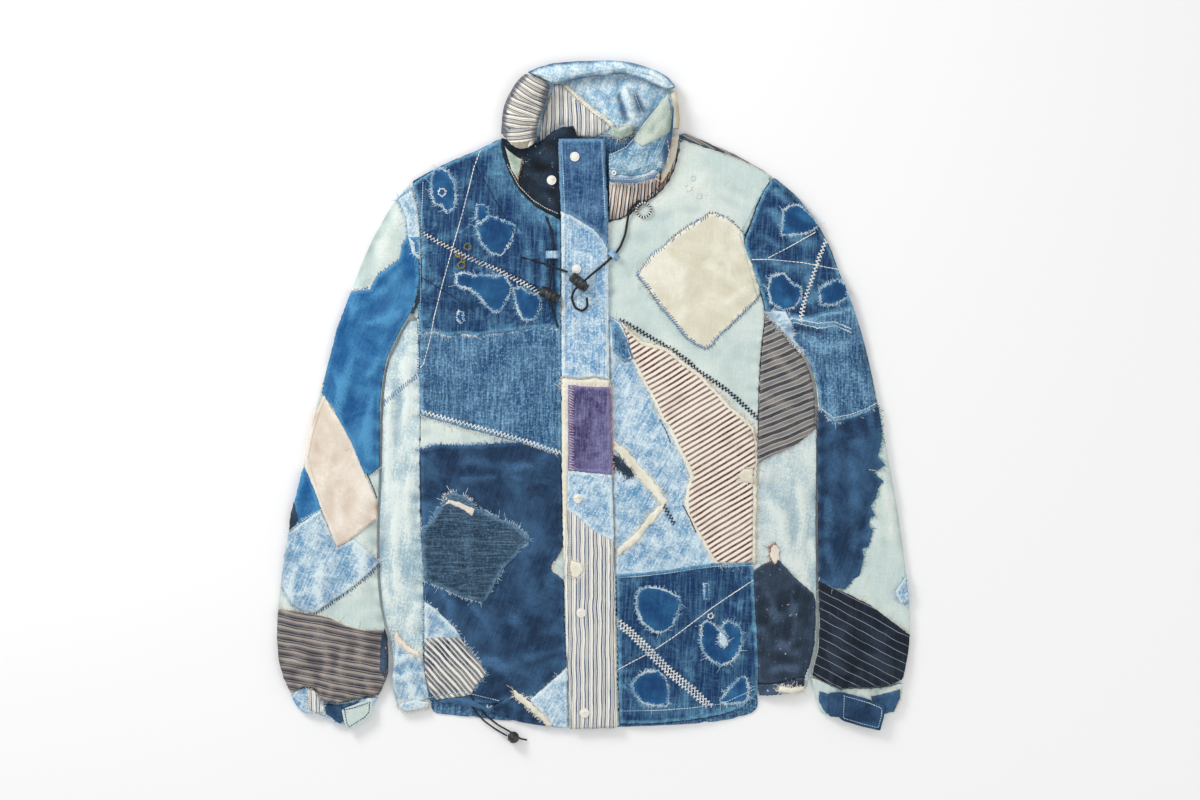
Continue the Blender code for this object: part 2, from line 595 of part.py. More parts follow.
def side_panel(name, seam, edge, colour, stations=17, samples=5):
    """A side panel that turns round the body's edge and comes back below on the surface."""
    seam_line = curve_points(seam, stations)
    edge_line = curve_points(edge, stations)
    rows = []
    for start, end in zip(seam_line, edge_line):
        width = (end - start).length
        row = []
        for j in range(samples):
            share = (1 - ROLL / width) * j / samples
            spot = start.lerp(end, share)
            calm = smoothstep((width * (1 - share) - ROLL) / 14)
            row.append(Vector((spot.x, spot.y, BODY_TOP + (body_height(spot) - BODY_TOP) * calm)))
        for j in range(5):
            angle = math.pi * (0.5 - j / 4)
            spot = start.lerp(end, 1 - (ROLL - ROLL * math.cos(angle)) / width)
            row.append(Vector((spot.x, spot.y, ROLL + ROLL * math.sin(angle))))
        for share in (0.6, 0.0):
            spot = start.lerp(end, share * (1 - ROLL / width))
            row.append(Vector((spot.x, spot.y, 0.0)))
        rows.append(row)
    grid_wall(name, rows, WALL, colour, top_column=1)
    return seam_line


def highest(x, y, reach=0.0):
    """The highest built face within a reach of a point, in layout millimetres."""
    best = 0.0
    for step in range(9 if reach else 1):
        angle = step * math.tau / 8
        radius = reach if step < 8 else 0.0
        start = to_world((x + radius * math.cos(angle), y + radius * math.sin(angle), 200.0))
        for tree in trees:
            hit = tree.ray_cast(start, Vector((0, 0, -1)))
            if hit[0]:
                best = max(best, hit[0].z / MM)
    return best


def note_solid(item):
    """Adds a built object to those that later pieces rest on."""
    mesh = item.evaluated_get(bpy.context.evaluated_depsgraph_get()).to_mesh()
    points = [item.matrix_world @ v.co for v in mesh.vertices]
    trees.append(BVHTree.FromPolygons(points, [p.vertices[:] for p in mesh.polygons]))


def turned(name, profile, sides, colour, roughness):
    """A closed turned piece about its own Z, from radius and height pairs with both ends on the axis."""
    mesh = bpy.data.meshes.new(name)
    shape = bmesh.new()
    rings = []
    for radius, height in profile[1:-1]:
        ring = [shape.verts.new((radius * MM * math.cos(math.tau * k / sides),
                                 radius * MM * math.sin(math.tau * k / sides), height * MM)) for k in range(sides)]
        rings.append(ring)
    foot = shape.verts.new((0, 0, profile[0][1] * MM))
    head = shape.verts.new((0, 0, profile[-1][1] * MM))
    for k in range(sides):
        n = (k + 1) % sides
        shape.faces.new((foot, rings[0][n], rings[0][k]))
        shape.faces.new((head, rings[-1][k], rings[-1][n]))
        for low, up in zip(rings, rings[1:]):
            shape.faces.new((low[k], low[n], up[n], up[k]))
    shape.to_mesh(mesh)
    shape.free()
    mesh.shade_smooth()
    mesh.set_sharp_from_angle(angle=math.radians(35))
    mesh.materials.append(cloth(name, colour, roughness))
    item = bpy.data.objects.new(name, mesh)
    bpy.context.scene.collection.objects.link(item)
    solids.append(item)
    return item


def cord(name, route, radius, step, colour, start_height=None, end_height=None):
    """A cord laid over what is below it; an end held by a lock lies at a given height."""
    total = sum((Vector(b) - Vector(a)).length for a, b in zip(route, route[1:]))
    flat = curve_points(route, max(5, round(total / step)))
    count = len(flat)
    heights = [highest(p.x, p.y, radius + 0.5 * step) + CORD_LIFT + radius for p in flat]
    for i in range(count):
        if start_height is not None:
            heights[i] = max(heights[i], start_height * (1 - smoothstep(i / 3)))
        if end_height is not None:
            heights[i] = max(heights[i], end_height * (1 - smoothstep((count - 1 - i) / 3)))
    for _ in range(2):
        eased = [max(h, 0.25 * heights[max(i - 1, 0)] + 0.5 * h + 0.25 * heights[min(i + 1, count - 1)])
                 for i, h in enumerate(heights)]
        heights = eased
    data = bpy.data.curves.new(name, "CURVE")
    data.dimensions = "3D"
    spline = data.splines.new("POLY")
    spline.points.add(len(flat) - 1)
    for point, spot, height in zip(spline.points, flat, heights):
        point.co = (*to_world((spot.x, spot.y, height)), 1.0)
    data.bevel_depth = radius * MM
    data.bevel_resolution = 2
    data.use_fill_caps = True
    data.materials.append(cloth(name, colour, 0.75))
    item = bpy.data.objects.new(name, data)
    bpy.context.scene.collection.objects.link(item)
    solids.append(item)
    return item


def cloth_loop(name, centre, along, length, width, height, colour):
    """A short arched tape that a cord passes through, sewn down at both ends."""
    direction = Vector(along).normalized()
    across = Vector((-direction.y, direction.x))
    floor = highest(centre[0], centre[1], 0.5 * length) + SEAM
    rows = []
    for i in range(9):
        share = i / 8
        lift = height * math.sin(math.pi * share) ** 0.6 if 0 < share < 1 else 0.0
        row = []
        for side in (-0.5, 0.5):
            spot = Vector(centre) + direction * length * (share - 0.5) + across * width * side
            row.append(Vector((spot.x, spot.y, floor + 1.2 + lift)))
        rows.append(row)
    return grid_wall(name, rows, 1.2, colour, top_column=0, lowest=floor)


clean_scene()
trees = []

INDIGO = (0.06, 0.15, 0.33)
PALE_GREEN = (0.63, 0.69, 0.64)
PALE_DENIM = (0.42, 0.55, 0.68)
NAVY = (0.02, 0.04, 0.09)
STRIPE_GREY = (0.20, 0.18, 0.19)
CREAM = (0.75, 0.66, 0.50)

# Sleeves, side panels, back and fronts
ring_right, under_right, cuff_line_right = laid_tube("sleeve_right", ARMHOLE_RIGHT, SLEEVE_HEM_RIGHT, SLEEVE_OUTER_RIGHT, SLEEVE_INNER_RIGHT,
                       (0.05, 0.16, 0.36), sleeve_height, stations=18)
ring_left, under_left, cuff_line_left = laid_tube("sleeve_left", ARMHOLE_LEFT, SLEEVE_HEM_LEFT, SLEEVE_OUTER_LEFT, SLEEVE_INNER_LEFT,
                      (0.03, 0.06, 0.13), sleeve_height, stations=18)
seam_right = side_panel("side_right", SIDE_SEAM_RIGHT, SIDE_EDGE_RIGHT, (0.52, 0.60, 0.60))
seam_left = side_panel("side_left", SIDE_SEAM_LEFT, SIDE_EDGE_LEFT, (0.18, 0.18, 0.18))

neck_right = curve_points(NECK_RIGHT, 12)
neck_left = curve_points(NECK_LEFT, 12)
hem_right = curve_points(HEM_RIGHT, 10)
hem_left = curve_points(HEM_LEFT, 10)
neck_low = [Vector((12, 220.5)), Vector((FRONT_MEETING_X, 220))]

front_right_outline = (neck_right + [neck_low[1]] + hem_right[::-1] + seam_right[::-1]
                       + ring_right[::-1] + as_points(SHOULDER_RIGHT)[-2::-1])
front_left_outline = ([neck_low[1], neck_low[0]] + neck_left + as_points(YOKE_SEAM_LEFT)
                      + ring_left + seam_left + hem_left[::-1])
back_outline = (as_points(SHOULDER_RIGHT) + under_right + seam_right + as_points(BACK_HEM)[::-1]
                + seam_left[::-1] + under_left[::-1] + as_points(SHOULDER_LEFT)[::-1]
                + as_points([(104, 327), (0, 327), (-112, 327)]))
sheet("back", back_outline, lambda p: WALL, WALL, (0.10, 0.17, 0.27), FLAT_SPACING, rests=True)
sheet("front_right", front_right_outline, body_height, WALL, INDIGO)
sheet("front_left", front_left_outline, body_height, WALL, PALE_GREEN)
yoke_outline = as_points(SHOULDER_LEFT) + as_points(YOKE_SEAM_LEFT)[::-1]
sheet("yoke_left", yoke_outline, lambda p: 2 * WALL + SEAM, WALL, STRIPE_GREY, SMALL_SPACING)

# Collar
neck_line_right = neck_right + neck_low
neck_line_left = [neck_low[0]] + neck_left
stand_right_outline = neck_right + neck_low[::-1] + as_points(STAND_TOP_RIGHT)
sheet("collar_right_stand", stand_right_outline,
      lambda p: stand_height(p, neck_line_right, STAND_RISE_RIGHT), WALL, (0.015, 0.018, 0.025),
      SMALL_SPACING, gap=0.0)
stand_left_outline = neck_left + as_points(STAND_TOP_LEFT)
sheet("collar_left_stand", stand_left_outline,
      lambda p: stand_height(p, neck_line_left, STAND_RISE_LEFT), WALL, CREAM, SMALL_SPACING, gap=0.0)
rolled_piece("collar_right_roll", COLLAR_ROLL_OUTER, COLLAR_ROLL_INNER, ROLL_SECTION, (0.55, 0.50, 0.42),
             stations=9, samples=16, bow=(0, -17))
rolled_piece("collar_band", COLLAR_BAND_OUTER, COLLAR_BAND_INNER, BAND_SECTION, (0.22, 0.38, 0.55),
             stations=13, samples=13)
rolled_piece("collar_left_side", COLLAR_SIDE_OUTER, COLLAR_SIDE_INNER, SIDE_SECTION, CREAM,
             stations=6, samples=11)
back_rim = (leg_end(COLLAR_ROLL_OUTER, COLLAR_ROLL_INNER, 0.59, 9)
            + leg_end(COLLAR_BAND_OUTER, COLLAR_BAND_INNER, 0.36, 14)
            + leg_end(COLLAR_SIDE_OUTER, COLLAR_SIDE_INNER, 0.35, 6)[::-1]
            + as_points([(92, 328.2), (-92, 328.2)]))
flat, faces = triangulated(inset(without_repeats(back_rim), SEAM), SMALL_SPACING)
rise = [fold_height(Vector(p), COLLAR_FOLDS) for p in flat]
slab("collar_back", flat, faces, [WALL + r for r in rise], [r if r > 0.05 else 0.0 for r in rise], PALE_DENIM)


def flap():
    fold_line = curve_points(FLAP_FOLD, 12)
    free_line = curve_points(FLAP_EDGE, 12)
    rows = []
    for fold, free in zip(fold_line, free_line):
        width = (free - fold).length
        section = FLAP_SECTION + [(share * width, height) for share, height in FLAP_SECTION_SHARES]
        row = []
        for reach, height in smooth_section(section, 13):
            spot = fold.lerp(free, reach / width)
            row.append(Vector((spot.x, spot.y, height)))
        rows.append(row)
    top = max(range(13), key=lambda j: rows[6][j].z)
    grid_wall("collar_left_roll", rows, WALL, (0.35, 0.50, 0.62), top_column=top)


flap()


def placket_height(point):
    crossing = smoothstep((point.y - 196) / 40)
    laid = body_height(Vector((point.x, min(point.y, 205)))) + SEAM + 0.4 + PLACKET_WALL
    return laid * (1 - crossing) + PLACKET_TOP_Z * crossing


placket_outline = curve_points(PLACKET_LEFT_EDGE, 26) + curve_points(PLACKET_RIGHT_EDGE, 26)[::-1]
sheet("placket", placket_outline, placket_height, PLACKET_WALL, (0.10, 0.20, 0.36), spacing=22.0, gap=0.0)

# Cuffs and their tabs
cuff_top_right = beyond(cuff_line_right, CUFF_GAP)
cuff_top_left = beyond(cuff_line_left, -CUFF_GAP)
laid_tube("cuff_right", cuff_top_right, CUFF_END_RIGHT, [cuff_top_right[0][:]] + CUFF_OUTER_RIGHT,
          [cuff_top_right[-1][:]] + CUFF_INNER_RIGHT, PALE_DENIM, cuff_height, stations=4)
laid_tube("cuff_left", cuff_top_left, CUFF_END_LEFT, [cuff_top_left[0][:]] + CUFF_OUTER_LEFT,
          [cuff_top_left[-1][:]] + CUFF_INNER_LEFT, (0.55, 0.60, 0.58), cuff_height, stations=5)
tab_height = 2 * ROLL + CUFF_GATHER + TAB_LIFT + WALL
sheet("cuff_tab_right", as_points(TAB_RIGHT), lambda p: tab_height, WALL, PALE_GREEN, 18.0, gap=0.0)
sheet("cuff_tab_left", as_points(TAB_LEFT), lambda p: tab_height, WALL, NAVY, 18.0, gap=0.0)

for patch_name, carrier, outline, colour in PATCHES:
    patch_on(patch_name, carrier, outline, colour)
for item in solids:
    note_solid(item)


def snap(name, x, y, radius, height):
    dome = [(0, 0), (radius * 0.96, 0), (radius, height * 0.3), (radius * 0.9, height * 0.75),
            (radius * 0.6, height), (0, height)]
    item = turned(name, dome, 20, (0.80, 0.78, 0.72), 0.45)
    item.location = to_world((x, y, highest(x, y, radius) + SEAM))
    return item


def lying_lock(name, centre, axis):
    """A cord lock lying on its side: a round barrel with a press button at one end."""
    half = 0.5 * LOCK_LENGTH
    profile = [(0, -half), (LOCK_RADIUS * 0.85, -half), (LOCK_RADIUS, -half + 1.5), (LOCK_RADIUS, half - 8),
               (LOCK_RADIUS * 0.9, half - 7), (LOCK_RADIUS * 0.72, half - 6.5), (LOCK_RADIUS * 0.72, half - 0.8),
               (LOCK_RADIUS * 0.6, half), (0, half)]
    item = turned(name, profile, 16, (0.012, 0.013, 0.016), 0.5)
    direction = Vector((*axis, 0)).normalized()
    item.rotation_euler = direction.to_track_quat("Z", "Y").to_euler()
    floor = max(highest(centre[0] + direction.x * step, centre[1] + direction.y * step, LOCK_RADIUS)
                for step in (-0.7 * half, 0, 0.7 * half))
    item.location = to_world((*centre, floor + SEAM + LOCK_RADIUS))
    return floor + SEAM + LOCK_RADIUS


for number, (snap_x, snap_y) in enumerate(SNAPS):
    snap(f"snap_{number + 1}", snap_x, snap_y, SNAP_RADIUS, SNAP_HEIGHT)
snap("snap_stand", *STAND_SNAP, 4.5, 1.6)
snap("flap_eyelet", *FLAP_EYELET, 3.2, 1.0)

bpy.ops.mesh.primitive_torus_add(major_radius=RING_RADIUS * MM, minor_radius=RING_TUBE * MM, major_segments=22,
                                 minor_segments=6)
ring = bpy.context.object
ring.name = "neck_ring"
ring.data.materials.append(cloth("neck_ring", (0.70, 0.68, 0.62)))
ring.location = to_world((*NECK_RING, highest(*NECK_RING, RING_RADIUS + RING_TUBE) + SEAM + RING_TUBE))
solids.append(ring)

BLUE_TAPE = (0.10, 0.28, 0.60)
CORD_BLACK = (0.012, 0.014, 0.02)
cloth_loop("cord_loop_right", LOOP_RIGHT, (1, 0), 18, 10, 5.2, BLUE_TAPE)
cloth_loop("cord_loop_left", LOOP_LEFT, (0.75, -0.66), 15, 8, 5.6, BLUE_TAPE)
lock_left_height = lying_lock("cord_lock_left", LOCK_LEFT, LOCK_LEFT_AXIS)
lock_right_height = lying_lock("cord_lock_right", LOCK_RIGHT, LOCK_RIGHT_AXIS)
cord("neck_cord_left", NECK_CORD_LEFT, CORD_RADIUS, CORD_STEP, CORD_BLACK, end_height=lock_left_height)
cord("neck_cord_left_loop", NECK_CORD_LEFT_LOOP, CORD_RADIUS, 5.0, CORD_BLACK, lock_left_height, lock_left_height)
note_solid(cord("neck_cord_right", NECK_CORD_RIGHT, CORD_RADIUS, CORD_STEP, CORD_BLACK,
                end_height=lock_right_height))
cord("neck_cord_left_tail", NECK_CORD_LEFT_TAIL, THIN_CORD_RADIUS, THIN_CORD_STEP, CORD_BLACK, lock_left_height)
cord("neck_cord_right_tail", NECK_CORD_RIGHT_TAIL, CORD_RADIUS, 5.0, CORD_BLACK, lock_right_height)

ball = [(0, -HEM_LOCK_RADIUS)]
ball += [(HEM_LOCK_RADIUS * math.cos(a), HEM_LOCK_RADIUS * math.sin(a))
         for a in (math.radians(d) for d in range(-70, 71, 20))]
ball.append((0, HEM_LOCK_RADIUS))
hem_lock = turned("hem_cord_lock", ball, 16, (0.10, 0.13, 0.16), 0.45)
hem_lock.location = to_world((*HEM_LOCK, HEM_LOCK_RADIUS + SEAM))
cord("hem_cord_upper", HEM_CORD_UPPER, THIN_CORD_RADIUS, 6.0, CORD_BLACK, end_height=HEM_LOCK_RADIUS)
cord("hem_cord_lower", HEM_CORD_LOWER, THIN_CORD_RADIUS, 6.0, CORD_BLACK, end_height=HEM_LOCK_RADIUS)
cord("hem_cord_tail", HEM_CORD_TAIL, THIN_CORD_RADIUS, 3.0, CORD_BLACK, start_height=HEM_LOCK_RADIUS)
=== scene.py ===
# %% [markdown]
# # A patched boro jacket, laid flat
# The jacket was sewn from scraps of worn denim, ticking and cotton, and it lies on its back on a
# table. The solid model gives every panel its place and its wall. This lesson dresses those solids:
# it reads their outer faces as heights, lays thin cloth on the heights, and then adds what a hand
# left there: stitches, frayed edges, holes, snaps and drawcords.

# %% The frame
import math
from functools import partial

import bmesh
import bpy
import numpy as np
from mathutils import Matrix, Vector
from mathutils.bvhtree import BVHTree
from mathutils.geometry import delaunay_2d_cdt


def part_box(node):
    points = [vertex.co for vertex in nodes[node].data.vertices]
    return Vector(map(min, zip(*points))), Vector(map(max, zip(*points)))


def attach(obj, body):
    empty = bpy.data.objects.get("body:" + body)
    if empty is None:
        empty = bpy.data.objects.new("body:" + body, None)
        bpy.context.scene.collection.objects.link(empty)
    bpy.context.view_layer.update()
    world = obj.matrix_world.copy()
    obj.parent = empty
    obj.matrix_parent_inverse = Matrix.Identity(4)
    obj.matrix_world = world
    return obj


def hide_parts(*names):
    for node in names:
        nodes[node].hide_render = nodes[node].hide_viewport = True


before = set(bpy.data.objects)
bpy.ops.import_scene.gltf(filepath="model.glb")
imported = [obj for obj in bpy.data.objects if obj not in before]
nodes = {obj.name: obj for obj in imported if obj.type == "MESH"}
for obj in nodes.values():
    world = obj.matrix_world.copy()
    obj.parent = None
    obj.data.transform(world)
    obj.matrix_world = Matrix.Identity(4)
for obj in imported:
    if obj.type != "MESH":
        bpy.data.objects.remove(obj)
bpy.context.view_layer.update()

MM = 0.001
SHIFT_X = 0.67        # the layout's middle, moved to the origin, in millimetres
SHIFT_Y = -1.93
random = np.random.default_rng(7)
print("the frame holds", len(nodes), "solids")


def place(x, y, z):
    """A point of the layout, in millimetres, as a point of the scene in metres."""
    return Vector(((x + SHIFT_X) * MM, (y + SHIFT_Y) * MM, z * MM))


def add_object(name, data):
    """A new object at the origin, linked to the scene."""
    made = bpy.data.objects.new(name, data)
    bpy.context.scene.collection.objects.link(made)
    return made


# %% [markdown]
# ## Camera and light
# The jacket was photographed from straight above. A long lens keeps the flat cloth free of
# perspective, and 1200 pixels of the picture are 1500 mm on the table.

# %% Camera
CAMERA_LENS = 85.0
SENSOR = 36.0
VIEW_WIDTH = 1500.0           # mm of table across the picture
VIEW_MIDDLE = (7.5, -3.75)    # mm on the layout
CLOTH_HEIGHT = 12             # mm, the height that is seen at this width
camera_data = bpy.data.cameras.new("camera")
camera_data.lens = CAMERA_LENS
camera_data.sensor_width = SENSOR
camera = add_object("camera", camera_data)
camera.location = place(*VIEW_MIDDLE, CLOTH_HEIGHT + VIEW_WIDTH * CAMERA_LENS / SENSOR)
bpy.context.scene.camera = camera

# %% [markdown]
# The studio light is soft and nearly white. One wide lamp at the upper left lets the folds show,
# and a weaker lamp and the pale surroundings fill the shadows.

# %% Lamps, surroundings and table
view = bpy.context.scene.view_settings
view.view_transform = "Standard"
world = bpy.data.worlds.new("pale room")
bpy.context.scene.world = world
world.use_nodes = True
surroundings = world.node_tree.nodes["Background"].inputs
surroundings["Color"].default_value = (1.0, 1.0, 1.0, 1.0)
surroundings["Strength"].default_value = 0.72


def soft_lamp(name, location, size, power):
    """A square lamp, in metres and watts, that looks at the jacket's middle."""
    data = bpy.data.lights.new(name, "AREA")
    data.size = size
    data.energy = power
    lamp = add_object(name, data)
    lamp.location = location
    lamp.rotation_euler = (-Vector(location)).to_track_quat("-Z", "Y").to_euler()


def new_material(name, values):
    """A material, its node tree and its shader, with some of the shader's own values set."""
    material = bpy.data.materials.new(name)
    material.use_nodes = True
    shader = material.node_tree.nodes["Principled BSDF"]
    for key, value in values.items():
        shader.inputs[key].default_value = value
    return material, material.node_tree, shader


TABLE_HALF = 3.0      # m
TABLE_CORNERS = ((-1, -1), (1, -1), (1, 1), (-1, 1))
TABLE_PAINT = {"Base Color": (0.9, 0.9, 0.9, 1.0), "Roughness": 0.9}
table_mesh = bpy.data.meshes.new("table")
table_mesh.from_pydata([(x * TABLE_HALF, y * TABLE_HALF, 0) for x, y in TABLE_CORNERS], [], [(0, 1, 2, 3)])
add_object("table", table_mesh)
table_mesh.materials.append(new_material("matt white table", TABLE_PAINT)[0])
soft_lamp("window lamp", (-1.5, 1.5, 1.25), 0.8, 34)
soft_lamp("fill lamp", (1.6, -1.0, 2.4), 1.6, 12)


# %% [markdown]
# ## Cloth colours
# Each fabric starts from what it is: indigo twill, faded cotton, ticking. Colours are written as
# they look on a screen and turned to linear light once. One helper adds any node.

# %% Colour and node helpers
def linear(code):
    """A screen colour such as "#3b6a9b" as linear red, green, blue and 1."""
    shares = [int(code[i:i + 2], 16) / 255 for i in (1, 3, 5)]
    return [c / 12.92 if c <= 0.04045 else ((c + 0.055) / 1.055) ** 2.4 for c in shares] + [1.0]


def add_node(tree, kind, links=None, inputs=None, **settings):
    """Adds one node: settings first, then input values, then links from other nodes' sockets."""
    node = tree.nodes.new(kind)
    for key, value in settings.items():
        setattr(node, key, value)
    for key, value in (inputs or {}).items():
        node.inputs[key].default_value = value
    for key, socket in (links or {}).items():
        tree.links.new(socket, node.inputs[key])
    return node


def set_ramp(node, stops, how="LINEAR"):
    """Gives a colour ramp its stops, each a position and a screen colour."""
    ramp = node.color_ramp
    ramp.interpolation = how
    while len(ramp.elements) > 1:
        ramp.elements.remove(ramp.elements[-1])
    ramp.elements[0].position = stops[0][0]
    ramp.elements[0].color = linear(stops[0][1])
    for position, code in stops[1:]:
        ramp.elements.new(position).color = linear(code)


# %% [markdown]
# ## One recipe for woven cloth
# Worn cloth never has one colour. The recipe mixes a base with a faded colour by broad blotches, by
# fine streaks along the yarn and by specks, and fades the edges and ridges that rub. It also paints
# shade into the hollows, darkening them towards a third colour. Stripes are bands across one
# direction. The weave is drawn a little coarser than a real 0.8 mm twill, because it would not show
# otherwise.

# %% The cloth recipe
fabrics = {}
YARN_SPOT = (0.026, 0.0019, 0.006)      # m, the size of a streak along, across and through the cloth
WEFT_SPOT = (0.0016, 0.014, 0.006)      # m, the same for the threads that cross
SPECK_SIZE, FLAKE_SIZE, STAIN_SIZE, STRIPE_WANDER = 2.6, 7, 30, 40      # mm
TWILL_PITCH = 2.2       # mm
RUBBED_RIM = 5.0        # mm that fade beside a border
SOIL, FLAKE = "#a79876", "#dfe6e8"


def weave_cloth(name, base, faded, painted_shade, blotch=(45, 0.9), streak=(0.5, 90), speck=0.35, edge=0.8, ridge=0.9,
                stripes=None, stain=0.25, bump=0.35, clear=(0.42, 0.66), flecks=0.0):
    """Woven cloth. blotch is a size in mm and a share, streak a share and the yarn's angle in degrees.
    stripes is (period in mm, angle in degrees, stops) or ("along", period, stops). speck, edge and
    ridge say how much specks, borders and ridges fade, clear is the part of the cloud that shows as a
    blotch, and flecks is how much small white wear breaks through. The third colour is painted shade,
    which darkens the hollows."""
    material, tree, shader = new_material(name, {"Roughness": 0.93, "Sheen Weight": 0.04,
                                                 "Sheen Roughness": 0.6, "Specular IOR Level": 0.25})
    add = partial(add_node, tree)
    place_on = add("ShaderNodeTexCoord").outputs["Object"]
    broad = add("ShaderNodeTexNoise", {"Vector": place_on},
                {"Scale": 1000 / blotch[0], "Detail": 6.0, "Roughness": 0.66, "Distortion": 0.5})
    turned = add("ShaderNodeMapping", {"Vector": place_on},
                 {"Rotation": (0, 0, math.radians(streak[1])), "Scale": YARN_SPOT}, vector_type="TEXTURE")
    yarn = add("ShaderNodeTexNoise", {"Vector": turned.outputs[0]},
               {"Scale": 1.0, "Detail": 3.0, "Roughness": 0.6})
    crossed = add("ShaderNodeMapping", {"Vector": place_on},
                  {"Rotation": (0, 0, math.radians(streak[1])), "Scale": WEFT_SPOT}, vector_type="TEXTURE")
    weft = add("ShaderNodeTexNoise", {"Vector": crossed.outputs[0]},
               {"Scale": 1.0, "Detail": 2.0, "Roughness": 0.6})
    specks = add("ShaderNodeTexNoise", {"Vector": place_on},
                 {"Scale": 1000 / SPECK_SIZE, "Detail": 2.0, "Roughness": 0.7})
    shares = [(broad, blotch[1], clear[0], clear[1]), (yarn, streak[0], 0.45, 0.72),
              (weft, streak[0] * 0.5, 0.5, 0.78), (specks, speck, 0.5, 0.75)]
    total = None
    for source, share, low, high in shares:
        part = add("ShaderNodeMapRange", {"Value": source.outputs["Fac"]},
                   {"From Min": low, "From Max": high, "To Max": share})
        if total is None:
            total = part.outputs[0]
        else:
            total = add("ShaderNodeMath", {0: total, 1: part.outputs[0]}, operation="ADD").outputs[0]
    rim = add("ShaderNodeAttribute", attribute_name="edge")
    rim_share = add("ShaderNodeMapRange", {"Value": rim.outputs["Fac"]},
                    {"From Min": RUBBED_RIM, "From Max": 0.0, "To Max": edge})
    rubbed = add("ShaderNodeAttribute", attribute_name="ridge")
    rub_share = add("ShaderNodeMapRange", {"Value": rubbed.outputs["Fac"]},
                    {"From Min": 0.05, "From Max": 1.0, "To Max": ridge})
    worn = add("ShaderNodeMath", {0: rim_share.outputs[0], 1: rub_share.outputs[0]}, operation="ADD")
    broken = add("ShaderNodeMapRange", {"Value": specks.outputs["Fac"]},
                 {"From Min": 0.3, "From Max": 0.6, "To Min": 0.35, "To Max": 1.0})
    worn = add("ShaderNodeMath", {0: worn.outputs[0], 1: broken.outputs[0]}, operation="MULTIPLY")
    total = add("ShaderNodeMath", {0: total, 1: worn.outputs[0]}, operation="ADD", use_clamp=True)
    if stripes is None:
        ground = add("ShaderNodeRGB")
        ground.outputs[0].default_value = linear(base)
        ground = ground.outputs[0]
        faded_share = total.outputs[0]
    else:
        wobble = add("ShaderNodeTexNoise", {"Vector": place_on},
                     {"Scale": 1000 / STRIPE_WANDER, "Detail": 2.0})
        if stripes[0] == "along":
            across = add("ShaderNodeAttribute", attribute_name="along").outputs["Fac"]
            across = add("ShaderNodeMath", {0: across}, {1: 1 / stripes[1]}, operation="MULTIPLY")
            across = across.outputs[0]
        else:
            turn = add("ShaderNodeMapping", {"Vector": place_on},
                       {"Rotation": (0, 0, math.radians(90 - stripes[1])),
                        "Scale": (1000 / stripes[0], 1000 / stripes[0], 1.0)})
            across = add("ShaderNodeSeparateXYZ", {0: turn.outputs[0]}).outputs["X"]
        wave = add("ShaderNodeMath", {0: wobble.outputs["Fac"], 2: across}, {1: 0.55},
                   operation="MULTIPLY_ADD")
        wave = add("ShaderNodeMath", {0: wave.outputs[0]}, operation="FRACT")
        bands = add("ShaderNodeValToRGB", {"Fac": wave.outputs[0]})
        set_ramp(bands, stripes[2], "CONSTANT")
        ground = bands.outputs[0]
        faded_share = add("ShaderNodeMath", {0: total.outputs[0]}, {1: 0.26}, operation="MULTIPLY")
        faded_share = faded_share.outputs[0]
    mixed = add("ShaderNodeMix", {0: faded_share, 6: ground}, {7: linear(faded)}, data_type="RGBA")
    # Painted shade: the hollows and creases are mixed towards the third colour, as if shade fell in them.
    hollow = add("ShaderNodeAttribute", attribute_name="hollow")
    painted_shade_share = add("ShaderNodeMapRange", {"Value": hollow.outputs["Fac"]},
                    {"From Min": 0.05, "From Max": 1.0, "To Max": 0.85})
    shaded = add("ShaderNodeMix", {0: painted_shade_share.outputs[0], 6: mixed.outputs[2]}, {7: linear(painted_shade)},
                 data_type="RGBA")
    spots = add("ShaderNodeTexNoise", {"Vector": place_on},
                {"Scale": 1000 / STAIN_SIZE, "Detail": 5.0, "Roughness": 0.75, "Distortion": 1.0})
    spot_share = add("ShaderNodeMapRange", {"Value": spots.outputs["Fac"]},
                     {"From Min": 0.6, "From Max": 0.78, "To Max": stain})
    soiled = add("ShaderNodeMix", {0: spot_share.outputs[0], 6: shaded.outputs[2]}, {7: linear(SOIL)},
                 data_type="RGBA")
    flaked = add("ShaderNodeTexNoise", {"Vector": place_on},
                 {"Scale": 1000 / FLAKE_SIZE, "Detail": 4.0, "Roughness": 0.8})
    flake_share = add("ShaderNodeMapRange", {"Value": flaked.outputs["Fac"]},
                      {"From Min": 0.655, "From Max": 0.685, "To Max": flecks})
    flecked = add("ShaderNodeMix", {0: flake_share.outputs[0], 6: soiled.outputs[2]}, {7: linear(FLAKE)},
                  data_type="RGBA")
    tree.links.new(flecked.outputs[2], shader.inputs["Base Color"])
    twill = add("ShaderNodeTexWave", {"Vector": place_on},
                {"Scale": 1000 / TWILL_PITCH / 20 * 3.1, "Distortion": 1.5, "Detail": 1.0},
                bands_direction="DIAGONAL")
    relief = add("ShaderNodeMath", {0: twill.outputs["Fac"], 2: yarn.outputs["Fac"]}, {1: 0.5},
                 operation="MULTIPLY_ADD")
    relief = add("ShaderNodeMath", {0: relief.outputs[0], 1: specks.outputs["Fac"]}, operation="ADD")
    raised = add("ShaderNodeBump", {"Height": relief.outputs[0]}, {"Strength": bump, "Distance": 0.0006})
    tree.links.new(raised.outputs[0], shader.inputs["Normal"])
    fabrics[name] = material


# %% [markdown]
# The scraps fall into a few families: indigo twills at every stage of fading, pale cottons that were
# once green or cream, stripes and ticking, and near-black cloth.

